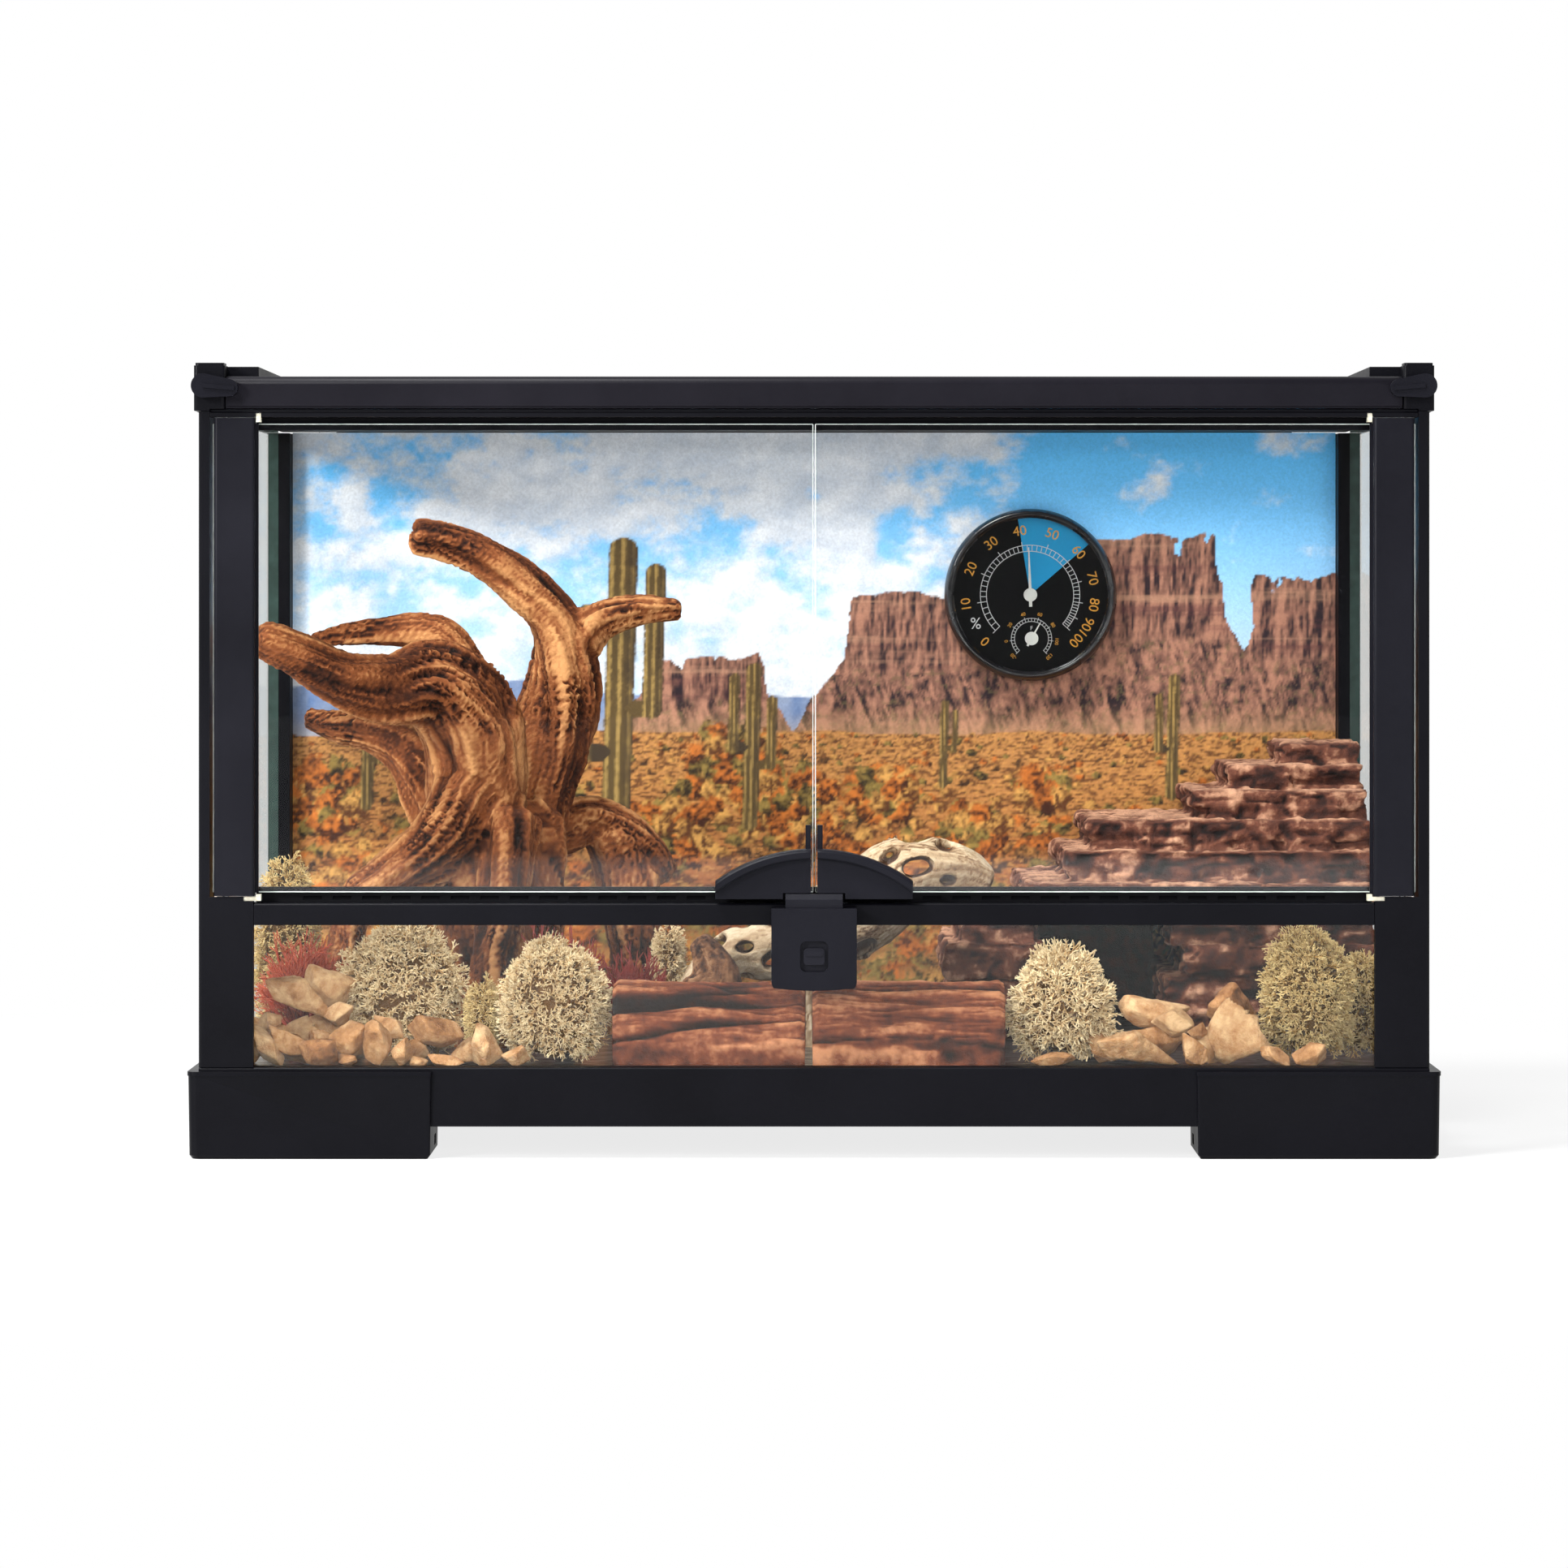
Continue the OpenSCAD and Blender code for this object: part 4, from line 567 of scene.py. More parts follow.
at = put(tree, "TexCoord").outputs["Object"]
smear = put(tree, "TexNoise", Vector=at, Scale=90.0, Detail=3.0).outputs["Fac"]
tree.links.new(spread(tree, smear, 0.3, 0.7, 0.01, 0.05), mirror.inputs["Roughness"])
sheen = put(tree, "MixShader", Fac=put(tree, "Fresnel", IOR=1.4).outputs[0])
tree.links.new(through.outputs[0], sheen.inputs[1])
tree.links.new(mirror.outputs[0], sheen.inputs[2])
tree.links.new(sheen.outputs[0], tree.nodes["Material Output"].inputs["Surface"])
dress(lens_clear, "gauge_lens")
needle_white = moulded("needle_white", linear(232, 232, 226), 0.4, grain=0.0002, relief=0.00001)
dress(needle_white, "humidity_needle", "temperature_needle")

dial_low, dial_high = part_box("gauge_dial")
dial_x, dial_z = (dial_low.x + dial_high.x) / 2, (dial_low.z + dial_high.z) / 2
small_x, small_z = dial_x + 0.0006, dial_z - 0.0183


def turned(radius, degrees, at=(0.0, 0.0)):
    """The place on a dial at a radius in mm and an angle clockwise from the top."""
    a = np.radians(degrees)
    return np.array([at[0] + radius * 0.001 * np.sin(a), at[1] + radius * 0.001 * np.cos(a)])


def ribbon(inner, outer, start, stop, at, steps=1):
    """Quads of a flat ring sector between two radii and two angles, as corners in x and z."""
    edges = np.linspace(start, stop, steps + 1)
    return [
        [turned(inner, a, at), turned(inner, b, at), turned(outer, b, at), turned(outer, a, at)]
        for a, b in zip(edges, edges[1:])
    ]


def inked(name, quads, lift, colour, slot="gauge_dial_face"):
    """Printed ink: quads laid on the dial's face, lifted by a few hundredths of a millimetre."""
    corners = np.array(quads).reshape(-1, 2)
    points = np.c_[corners[:, 0], np.full(len(corners), dial_low.y - lift), corners[:, 1]]
    mat, tree, bsdf = surface(name + "_ink", Roughness=0.5)
    at = put(tree, "TexCoord").outputs["Object"]
    dots = put(tree, "TexNoise", Vector=at, Scale=2500.0, Detail=2.0).outputs["Fac"]
    dark = tuple(c * 0.86 for c in colour[:3]) + (1.0,)
    tree.links.new(shades(tree, dots, (0.3, dark), (0.7, colour)), bsdf.inputs["Base Color"])
    return make(name, points, np.arange(len(points)).reshape(-1, 4), mat, slot, smooth=False)


humidity = {0: -136, 10: -98.7, 20: -66.3, 30: -37, 40: -9.2, 50: 20, 60: 48.7, 70: 75.3, 80: 98.9, 90: 117, 100: 131.7}
big, small = (dial_x, dial_z), (small_x, small_z)
inked("dial_sector", ribbon(3.0, 32.4, -9.1, 49.2, big, 40), 0.00002, linear(0, 172, 234))
white = ribbon(18.15, 18.45, -136, 131.7, big, 120) + ribbon(20.7, 21.0, -136, 131.7, big, 120)
marks = sorted(humidity)
for a, b in zip(marks, marks[1:]):
    for k in range(5):
        angle = humidity[a] + (humidity[b] - humidity[a]) * k / 5
        white += ribbon(18.3, 22.4 if k == 0 else 20.8, angle - 0.42, angle + 0.42, big)
white += ribbon(18.3, 22.4, 131.3, 132.1, big)
white += ribbon(7.0, 7.25, -135, 135, small, 90) + ribbon(8.35, 8.6, -135, 135, small, 90)
for k in range(29):
    angle = -135 + 270 * k / 28
    white += ribbon(7.0, 9.2 if k % 4 == 0 else 8.5, angle - 0.8, angle + 0.8, small)
inked("dial_scale", white, 0.00004, linear(226, 228, 228))


def lettered(words, height, lift):
    """Flat triangles of words given as (text, x, z, clockwise turn), in Blender's own plain type,
    each centred on its place and facing the front."""
    points, faces = [], []
    for text, x, z, turn in words:
        curve = bpy.data.curves.new("word", "FONT")
        curve.body, curve.size, curve.resolution_u = text, height, 4
        curve.align_x, curve.align_y = "CENTER", "CENTER"
        word = bpy.data.objects.new("word", curve)
        scene.collection.objects.link(word)
        bpy.context.view_layer.update()
        flat = word.to_mesh()
        flat.calc_loop_triangles()
        xy = np.array([v.co[:2] for v in flat.vertices])
        a = math.radians(-turn)
        spun = xy @ np.array([[math.cos(a), math.sin(a)], [-math.sin(a), math.cos(a)]])
        start = sum(len(p) for p in points)
        faces += [[start + i for i in t.vertices] for t in flat.loop_triangles]
        points.append(np.c_[spun[:, 0] + x, np.full(len(xy), dial_low.y - lift), spun[:, 1] + z])
        bpy.data.objects.remove(word)
        bpy.data.curves.remove(curve)
    return np.concatenate(points), faces


amber, tree, bsdf = surface("amber_ink", Roughness=0.5)
at = put(tree, "TexCoord").outputs["Object"]
dots = put(tree, "TexNoise", Vector=at, Scale=2500.0, Detail=2.0).outputs["Fac"]
tree.links.new(shades(tree, dots, (0.3, linear(232, 156, 40)), (0.7, linear(252, 186, 70))), bsdf.inputs["Base Color"])
words = [(str(k), *turned(27.0, a, big), a) for k, a in humidity.items()]
points, faces = lettered(words, 0.0058, 0.00005)
make("dial_numbers", points, faces, amber, "gauge_dial_face", smooth=False)
words = [(str(k), *turned(10.6, -135 + 270 * (k + 20) / 140, small), -135 + 270 * (k + 20) / 140) for k in range(-20, 121, 20)]
points, faces = lettered(words, 0.0021, 0.00005)
make("dial_small_numbers", points, faces, amber, "gauge_dial_face", smooth=False)
white_ink = bpy.data.materials["dial_scale_ink"]
points, faces = lettered([("%", dial_x - 0.0228, dial_z - 0.0122, 0)], 0.0068, 0.00005)
make("dial_sign", points, faces, white_ink, "gauge_dial_face", smooth=False)
points, faces = lettered([("F", small_x, small_z + 0.0043, 0)], 0.0024, 0.00005)
make("dial_unit", points, faces, white_ink, "gauge_dial_face", smooth=False)

# Driftwood. A weathered root standing on the floor pane: thick fluted legs, a curling limb to the left, and a tall one
# that bends over; tan, with painted light and shade that make it paler where it stands out and dark in the cracks.


def smooth_path(points, step):
    """Catmull-Rom places and radii along points of (x, depth, height, radius) in mm, about one a
    step, as the part's source has them."""
    p = np.array(points, float)
    out = []
    for i in range(len(p) - 1):
        a, b, c, d = p[max(i - 1, 0)], p[i], p[i + 1], p[min(i + 2, len(p) - 1)]
        pieces = max(int(np.linalg.norm(c[:3] - b[:3]) / step), 1)
        for t in np.arange(pieces) / pieces:
            out.append(0.5 * (2 * b + (c - a) * t + (2 * a - 5 * b + 4 * c - d) * t**2 + (3 * b - a - 3 * c + d) * t**3))
    return np.array(out + [p[-1]])


def in_row(p):
    """Places given as x, depth behind the front of the posts and height in mm, in the row frame."""
    return (np.asarray(p, float) - [0, 149, 0]) / 1000


def frames_of(path):
    """Along, across and outward directions at each place of a path."""
    along = np.gradient(path[:, :3], axis=0)
    along /= np.linalg.norm(along, axis=1)[:, None]
    across = np.cross(along, [0, 1, 0])
    across /= np.linalg.norm(across, axis=1)[:, None]
    return along, across, np.cross(along, across)


def limb(points, seed, gnarl=0.1, around=40, step=2.0):
    """A closed tube along a path whose radius waves round and along it, with domed ends."""
    path = smooth_path(points, step)
    along, across, outward = frames_of(path)
    dome = np.sqrt(np.clip(1 - np.linspace(0, 1, 5)[1:] ** 2, 0.0004, 1))
    cap = path[-1, 3] * 0.45 * np.linspace(0, 1, 5)[1:]
    base = path[0, 3] * 0.45 * np.linspace(0, 1, 5)[1:]
    centres = np.r_[path[0, :3] - along[0] * base[::-1, None], path[:, :3], path[-1, :3] + along[-1] * cap[:, None]]
    radii = np.r_[path[0, 3] * dome[::-1], path[:, 3], path[-1, 3] * dome]
    a1 = np.r_[np.repeat(across[:1], 4, 0), across, np.repeat(across[-1:], 4, 0)]
    a2 = np.r_[np.repeat(outward[:1], 4, 0), outward, np.repeat(outward[-1:], 4, 0)]
    turn = np.linspace(0, 2 * np.pi, around, endpoint=False)
    i = np.arange(len(centres))[:, None] * step / 22
    wave = 1 + gnarl * (np.sin(3 * turn + seed + 1.3 * i) + 0.6 * np.sin(5 * turn - 2 * seed + 1.9 * i) + 0.5 * np.sin(2 * turn + 3 * seed - 0.8 * i))
    ring = centres[:, None] + (radii[:, None] * wave)[..., None] * (
        np.cos(turn)[None, :, None] * a1[:, None] + np.sin(turn)[None, :, None] * a2[:, None]
    )
    rows = np.arange(len(centres) - 1)[:, None] * around
    j, k = np.arange(around), (np.arange(around) + 1) % around
    faces = np.stack([rows + j, rows + around + j, rows + around + k, rows + k], -1).reshape(-1, 4)
    return ring.reshape(-1, 3), faces


def fused(parts, voxel, relax, minus=()):
    """One closed skin round overlapping closed parts, each (points in mm, quads): a voxel remesh
    of that size in mm with its corners relaxed, after the parts in minus are cut away."""
    made = []
    for group in (parts, minus):
        if not group:
            continue
        starts = np.cumsum([0] + [len(p) for p, _ in group])
        mesh = bpy.data.meshes.new("rough")
        faces = np.concatenate([f + s for (_, f), s in zip(group, starts)])
        mesh.from_pydata(np.concatenate([p for p, _ in group]).tolist(), [], faces.tolist())
        o = bpy.data.objects.new("rough", mesh)
        scene.collection.objects.link(o)
        made.append(o)
    whole = made[0].modifiers.new("skin", "REMESH")
    whole.mode, whole.voxel_size = "VOXEL", voxel
    if minus:
        other = made[1].modifiers.new("skin", "REMESH")
        other.mode, other.voxel_size = "VOXEL", voxel
        cut = made[0].modifiers.new("cut", "BOOLEAN")
        cut.object, cut.operation, cut.solver = made[1], "DIFFERENCE", "FAST"
        again = made[0].modifiers.new("again", "REMESH")
        again.mode, again.voxel_size = "VOXEL", voxel
    eased = made[0].modifiers.new("relax", "SMOOTH")
    eased.factor, eased.iterations = 0.5, relax
    bpy.context.view_layer.update()
    mesh = made[0].evaluated_get(bpy.context.evaluated_depsgraph_get()).to_mesh()
    points = np.empty(len(mesh.vertices) * 3)
    mesh.vertices.foreach_get("co", points)
    quads = np.empty(len(mesh.loops), np.int32)
    mesh.loops.foreach_get("vertex_index", quads)
    points, quads = points.reshape(-1, 3), quads.reshape(-1, 4)
    for o in made:
        bpy.data.objects.remove(o)
    return points, quads


def normals(points, faces):
    """Outward normals at the points, from the faces round them."""
    a, b, c = points[faces[:, 0]], points[faces[:, 1]], points[faces[:, 2]]
    flat = np.cross(b - a, c - a)
    out = np.zeros_like(points)
    for k in range(faces.shape[1]):
        np.add.at(out, faces[:, k], flat)
    return out / np.maximum(np.linalg.norm(out, axis=1), 1e-12)[:, None]


def nearest(points, path_points, radii):
    """For each point the index of the path place it lies closest to, counted in that place's radius."""
    best, index = np.full(len(points), 1e9), np.zeros(len(points), int)
    for i, (c, r) in enumerate(zip(path_points, radii)):
        far = np.linalg.norm(points - c, axis=1) / r
        closer = far < best
        best[closer], index[closer] = far[closer], i
    return index


def wooded(limbs, points, faces, groove, flutes=5.0, run=26.0):
    """Grain on a fused root. Each point takes the turn and the length of the limb it belongs to, and noise that is
    drawn out along that length gives rounded flutes with narrow cracks between, which move the point along its normal.
    Returns the points and a tone: grain and knots, with painted light and shade that make it paler on the crests and
    darker in the cracks."""
    paths = [smooth_path(l, 3.0) for l in limbs]
    frames = [frames_of(p) for p in paths]
    where = np.concatenate([p[:, :3] for p in paths])
    radius = np.concatenate([p[:, 3] for p in paths])
    across = np.concatenate([f[1] for f in frames])
    outward = np.concatenate([f[2] for f in frames])
    length = np.concatenate([np.arange(len(p)) * 3.0 + 400.0 * i for i, p in enumerate(paths)])
    index = nearest(points, where, radius)
    off = points - where[index]
    turn = np.arctan2((off * outward[index]).sum(1), (off * across[index]).sum(1))
    along = np.cross(across[index], outward[index])
    s = length[index] + (off * -along).sum(1)
    turn = turn + 0.012 * s + 0.35 * noise(points, 30, 51, 2)
    r = radius[index]
    ring = np.c_[np.cos(turn) * flutes, np.sin(turn) * flutes, s / run]
    big = noise(ring * 0.42, 1.0, 52, 2)
    lines = noise(ring * 1.3, 1.0, 53, 3, 0.6)
    worn = ease(noise(points, 24, 56, 2), -0.25, 0.25)
    crack = np.clip(1 - np.abs(lines) * 5.0, 0, 1) ** 2 * worn
    fine = noise(ring * [4.2, 4.2, 2.2], 1.0, 54, 3, 0.6)
    knots = noise(points, 17, 55, 3)
    depth = groove * (1.5 * big + 0.5 * lines - 0.75 * crack + 0.22 * fine) * np.clip(r / 12, 0.35, 1.25)
    depth += 2.2 * knots * np.clip(r / 14, 0.3, 1)
    moved = points + normals(points, faces) * depth[:, None]
    # Painted light and shade: the tone rises where the flutes, knots and grain stand out and falls in the cracks.
    tone = np.clip(0.52 + 0.42 * big + 0.26 * knots + 0.4 * fine + 0.26 * lines - 0.75 * crack, 0, 1)
    return moved, tone


def timber(name, dark, low, mid, high, coarse=180.0, rough=0.72, fleck=0.16):
    """Bare wood: colour from the tone field and from noise, with fine relief; where the tone field is paler on the
    crests, that is painted light.
    """
    mat, tree, bsdf = surface(name, Specular_IOR_Level=0.25)
    at = put(tree, "TexCoord").outputs["Object"]
    tone = put(tree, "Attribute", attribute_name="tone").outputs["Fac"]
    speck = put(tree, "TexNoise", Vector=at, Scale=coarse, Detail=8.0, Roughness=0.65).outputs["Fac"]
    grit = put(tree, "TexNoise", Vector=at, Scale=coarse * 7, Detail=4.0).outputs["Fac"]
    speckled = maths(tree, "ADD", tone, spread(tree, speck, 0.3, 0.7, -fleck, fleck))
    colour = shades(tree, speckled, (0.02, dark), (0.28, low), (0.52, mid), (0.85, high))
    tree.links.new(colour, bsdf.inputs["Base Color"])
    tree.links.new(spread(tree, speck, 0.3, 0.7, rough, rough + 0.15), bsdf.inputs["Roughness"])
    joint = mixed(tree, 0.35, put(tree, "TexNoise", Vector=at, Scale=coarse * 3, Detail=6.0).outputs["Fac"], grit)
    bump(tree, bsdf, joint, 0.0013, 0.85)
    return mat


floor_top = 33.0
root_limbs = [
    [(-124, 150, 26, 24), (-127, 150, 60, 21), (-130, 150, 98, 19), (-132, 150, 130, 19), (-135, 146, 158, 20),
     (-148, 134, 173, 17), (-166, 118, 173, 12.5), (-182, 106, 177, 10), (-198, 98, 186, 8.5), (-213, 93, 193, 7)],
    [(-140, 150, 166, 11), (-143, 152, 182, 10), (-151, 152, 193, 8), (-168, 152, 195, 6), (-185, 150, 194, 4.5),
     (-198, 148, 192, 3)],
    [(-138, 158, 96, 15), (-149, 164, 126, 12), (-162, 170, 147, 10), (-177, 173, 155, 8), (-191, 174, 157, 6),
     (-202, 175, 160, 4.5)],
    [(-126, 176, 26, 17), (-123, 176, 60, 14), (-119, 176, 95, 13), (-113, 177, 126, 14), (-103, 180, 156, 16),
     (-100, 182, 178, 14), (-104, 182, 199, 10.5), (-118, 180, 215, 9), (-134, 177, 226, 8), (-148, 174, 232, 7),
     (-158, 172, 234, 7)],
    [(-101, 184, 186, 12), (-87, 188, 199, 8), (-71, 190, 204, 6), (-55, 191, 204, 4)],
    [(-112, 184, 114, 9), (-100, 187, 115, 9), (-90, 190, 119, 9), (-78, 193, 113, 9.5), (-66, 195, 103, 8), (-60, 196, 97, 5)],
    [(-81, 192, 112, 10), (-76, 193, 98, 11), (-73, 194, 70, 10.5), (-72, 194, 26, 12)],
    [(-136, 140, 130, 14), (-150, 132, 110, 12), (-168, 126, 98, 8.5), (-180, 124, 88, 7), (-184, 126, 60, 8),
     (-186, 128, 26, 9)],
    [(-120, 140, 120, 12), (-122, 128, 90, 10), (-126, 122, 62, 9), (-130, 120, 26, 11)],
]
web = [(-126, 152, 60, 20), (-120, 160, 90, 18), (-114, 170, 120, 15)]
parts = [limb(l, 1.7 * i + 1, 0.09) for i, l in enumerate(root_limbs)] + [limb(web, 9.0, 0.12)]
points, faces = fused(parts, 1.15, 4)
points, tone = wooded(root_limbs, points, faces, 2.4, 4.4, 40.0)
points[:, 2] = np.maximum(points[:, 2], floor_top)
driftwood = timber("driftwood_wood", linear(20, 8, 4), linear(76, 37, 17), linear(134, 75, 39), linear(206, 148, 94), fleck=0.1)
make("root_wood", in_row(points), faces, driftwood, "driftwood", ["driftwood_root", "driftwood_prong"], tone=tone)

# Pale branch. A bleached, hollow cactus skeleton lying across the middle, full of oval holes
# that run with its grain.

trunk = [(-50, 118, 30, 10), (-44, 120, 56, 9), (-34, 122, 68, 10), (-14, 124, 72, 13), (14, 126, 83, 17),
         (36, 128, 99, 16), (56, 130, 101, 11), (67, 131, 97, 7)]
prop = [(0, 126, 78, 9), (1, 126, 60, 8), (2, 126, 30, 10)]


def bead(x, d, z, length, width, depth, lean, count=12):
    """A closed egg of quads, longest along a line leaning from the level by an angle in degrees."""
    u = np.linspace(0.02, np.pi - 0.02, 9)
    v = np.linspace(0, 2 * np.pi, count, endpoint=False)
    x0 = np.cos(u)[:, None] * length + 0 * v
    z0 = np.sin(u)[:, None] * np.cos(v) * width
    y0 = np.sin(u)[:, None] * np.sin(v) * depth
    a = math.radians(lean)
    points = np.stack([x + x0 * math.cos(a) - z0 * math.sin(a), d + y0, z + x0 * math.sin(a) + z0 * math.cos(a)], -1)
    rows = np.arange(8)[:, None] * count
    j, k = np.arange(count), (np.arange(count) + 1) % count
    faces = np.stack([rows + j, rows + k, rows + count + k, rows + count + j], -1).reshape(-1, 4)
    return points.reshape(-1, 3), faces


rng = np.random.default_rng(7)
path = smooth_path(trunk, 2.0)
holes = []
for i in range(12, len(path) - 3, 6):
    x, d, z, r = path[i]
    lean = math.degrees(math.atan2(path[i + 1, 2] - path[i, 2], path[i + 1, 0] - path[i, 0]))
    for turn in np.arange(-60, 250, 78) + rng.uniform(-12, 12) + 39 * (i // 6 % 2):
        a = math.radians(turn)
        size = r * rng.uniform(0.2, 0.36)
        holes.append(bead(x, d - r * math.cos(a), z + r * math.sin(a), size * 1.5, size * 0.85, size * 2.4, lean))
core = limb([(p[0], p[1], p[2], p[3] * 0.5) for p in trunk[2:-1]], 3.0, 0.05)
points, faces = fused([limb(trunk, 2.0, 0.05), limb(prop, 4.0, 0.05)], 0.9, 3, [*holes, core])
hollow = np.clip(1 - (np.linalg.norm((points[:, None] - path[None, ::3, :3]), axis=2) / path[None, ::3, 3]).min(1), 0, 1)
points, tone = wooded([trunk, prop], points, faces, 0.4, 5.0, 30.0)
# Painted shade: points near the branch's axis, inside the hollow and in the holes, are toned dark.
tone = np.clip(tone + 0.08 - 1.5 * ease(hollow, 0.1, 0.5), 0, 1)
points[:, 2] = np.maximum(points[:, 2], floor_top)
pale = timber("pale_wood_grain", linear(72, 46, 30), linear(146, 114, 84), linear(190, 162, 128), linear(224, 204, 172), 240.0, fleck=0.08)
make("branch_wood", in_row(points), faces, pale, "pale_wood", ["pale_branch"], tone=tone)

# Bark logs. Two half logs of red-brown bark, end to end behind the window, whose bark lies in
# broken level layers.


def bark_log(x0, length, d, width, height, seed):
    """A low arch carried along X: its points move out and in by noise that is drawn out along X
    and steps across it, so that it breaks into layers. Returns points, faces and tone."""
    across, along = 190, 128
    u = np.linspace(0, np.pi, across)
    wave = 1 + 0.03 * np.sin(9 * u + seed)
    arch_d = width / 2 * np.sign(np.cos(u)) * np.abs(np.cos(u)) ** 0.5 * wave
    arch_z = height * np.sin(u) ** 0.42
    x = np.linspace(0, length, along)
    gx, gu = np.meshgrid(x, np.arange(across))
    py = -arch_d[gu]
    pz = arch_z[gu]
    arc = np.r_[0, np.cumsum(np.hypot(np.diff(arch_d), np.diff(arch_z)))]
    s = arc[gu]
    flat = np.c_[(gx / 9).ravel(), (s / 1.0).ravel(), np.full(gx.size, 7.0 * seed)]
    warp = 3.2 * noise(np.c_[gx.ravel() / 30, s.ravel() / 30, np.full(gx.size, seed)], 1.0, 60, 2)
    flat[:, 1] += warp
    layers = noise(flat, 4.2, 61 + seed, 3, 0.6)
    ledge = np.abs(noise(flat * [0.6, 1, 1], 7.0, 62 + seed, 2))
    crack = np.clip(1 - ledge * 7, 0, 1) ** 1.5
    fine = noise(flat * [2.2, 3.0, 1], 3.0, 63 + seed, 3, 0.65)
    out = 1.9 * layers + 0.9 * fine - 2.8 * crack - 0.4
    end = ease(gx, 0, 2.2) * ease(length - gx, 0, 2.2)
    a = np.arctan2(pz + 3, py)
    shrink = 1 - 0.05 * (1 - end)
    points = np.stack([gx, (py * shrink) + (out.reshape(gx.shape)) * np.cos(a), pz * shrink + out.reshape(gx.shape) * np.sin(a)], -1)
    points[..., 2] = np.maximum(points[..., 2], 0)
    points[0, :, 2], points[-1, :, 2] = 0, 0
    points += [x0, d, floor_top]
    cell = (np.arange(along - 1)[None, :] + np.arange(across - 1)[:, None] * along).ravel()
    faces = np.c_[cell, cell + 1, cell + along + 1, cell + along]
    # Painted light and shade: the tone is paler on raised layers and fine relief and darker in the cracks between
    # layers.
    tone = np.clip(0.52 + 0.5 * layers + 0.35 * fine - 0.7 * crack, 0, 1)
    closing, caps = [], []
    start = across * along
    for column, flip in ((0, False), (along - 1, True)):
        ring = np.arange(across) * along + column
        middle = points[:, column].mean(0)
        inner = middle + (points[:, column] - middle) * 0.6
        inner[:, 0] += (1 if flip else -1) * 0.3
        closing.append(np.r_[inner, [middle]])
        k = start + np.arange(across)
        pairs = np.c_[ring[:-1], ring[1:], k[1:], k[:-1]]
        caps.append(pairs[:, ::-1] if flip else pairs)
        start += across + 1
    points = np.r_[points.reshape(-1, 3), *closing]
    tone = np.r_[tone, np.full(len(points) - len(tone), 0.35)]
    inner_faces = []
    start = across * along
    for flip in (False, True):
        k = start + np.arange(across)
        for i in range(0, across // 2 - 1):
            quad = [k[i], k[i + 1], k[across - 2 - i], k[across - 1 - i]]
            inner_faces.append(quad[::-1] if flip else quad)
        start += across + 1
    return points, np.r_[faces, *caps, np.array(inner_faces)], tone


red_bark = timber("red_bark_wood", linear(17, 7, 4), linear(68, 32, 18), linear(116, 60, 36), linear(194, 132, 92), 260.0)
for i, (x0, seed) in enumerate(((-75.5, 1), (-0.5, 2))):
    points, faces, tone = bark_log(x0, 72.0, 34.0, 31.0, 31.0, seed)
    make(f"log_{i + 1}", in_row(points), faces, red_bark, "red_bark", ["bark_logs"], tone=tone)

# Slate ledge. Split red slate stacked in broken layers: two piers, a back wall and stepped roof
# slabs over a hide that opens to the front.


def slab(x0, x1, d0, d1, z0, z1):
    """A closed box of quads."""
    corners = np.array([[x0, d0, z0], [x1, d0, z0], [x1, d1, z0], [x0, d1, z0], [x0, d0, z1], [x1, d0, z1], [x1, d1, z1], [x0, d1, z1]], float)
    faces = np.array([[0, 3, 2, 1], [4, 5, 6, 7], [0, 1, 5, 4], [1, 2, 6, 5], [2, 3, 7, 6], [3, 0, 4, 7]])
    return corners, faces


right, back = 221.5, 286.0
slabs = [slab(88, 142, 267, 287, 33, 84.5)]
rng = np.random.default_rng(11)
for i in range(4):
    z0 = 33 + 12.8 * i
    slabs.append(slab(139 + [3, 0, 8, 2][i], right, 135 + [0, 5, 2, 8][i], back, z0, z0 + 13))
    slabs.append(slab(49 + [0, 6, 3, 9][i], 92.5 - [0, 3, 1, 4][i], 153 + [0, 4, 2, 6][i], back, z0, z0 + 13))
steps = ((83, 131, 84, 96), (99, 148, 96, 108), (109, 164, 108, 120), (151, 180, 120, 131), (167, 196, 131, 141), (189, 214, 141, 149.6))
for x0, d0, z0, z1 in steps:
    middle = (z0 + z1) / 2
    slabs.append(slab(x0 + 2.5, right, d0 + 2.5, back, z0 - 0.5, middle))
    slabs.append(slab(x0, right, d0, back, middle - 0.5, z1))
    for k in range(5):
        cx = rng.uniform(x0, right - 24)
        slabs.append(slab(cx, cx + rng.uniform(12, 24), d0 - 1.2, d0 + 12, z0 + 1, z0 + rng.uniform(4, 7)))
points, faces = fused(slabs, 1.35, 2)
n = normals(points, faces)
side = np.hypot(n[:, 0], n[:, 1])
wander = 2.6 * noise(points, 30, 71, 2)
level = np.c_[points[:, 0] / 20, points[:, 1] / 20, (points[:, 2] + wander) / 2.6]
strata = noise(level, 1.0, 72, 2, 0.6)
gap = np.clip(1 - np.abs(noise(level * [1, 1, 0.6], 1.0, 73, 1)) * 7, 0, 1)
chips = noise(points, 6, 74, 4, 0.62)
cell = np.c_[points[:, 0] / 15 + 3 * noise(points, 40, 76), points[:, 1] / 15, np.floor((points[:, 2] + wander) / 7.0) * 3.1]
blocks = noise(cell, 1.0, 75, 1)
split = np.clip(1 - np.abs(blocks) * 9, 0, 1)
push = side * (1.2 * strata - 1.5 * gap + 2.1 * blocks - 1.4 * split) + 1.8 * chips
push = np.where(points[:, 1] > back - 3, np.minimum(push, 0), push)
points = points + n * push[:, None]
points[:, 2] = np.maximum(points[:, 2], floor_top)
points[:, 0] = np.minimum(points[:, 0], 222.3)
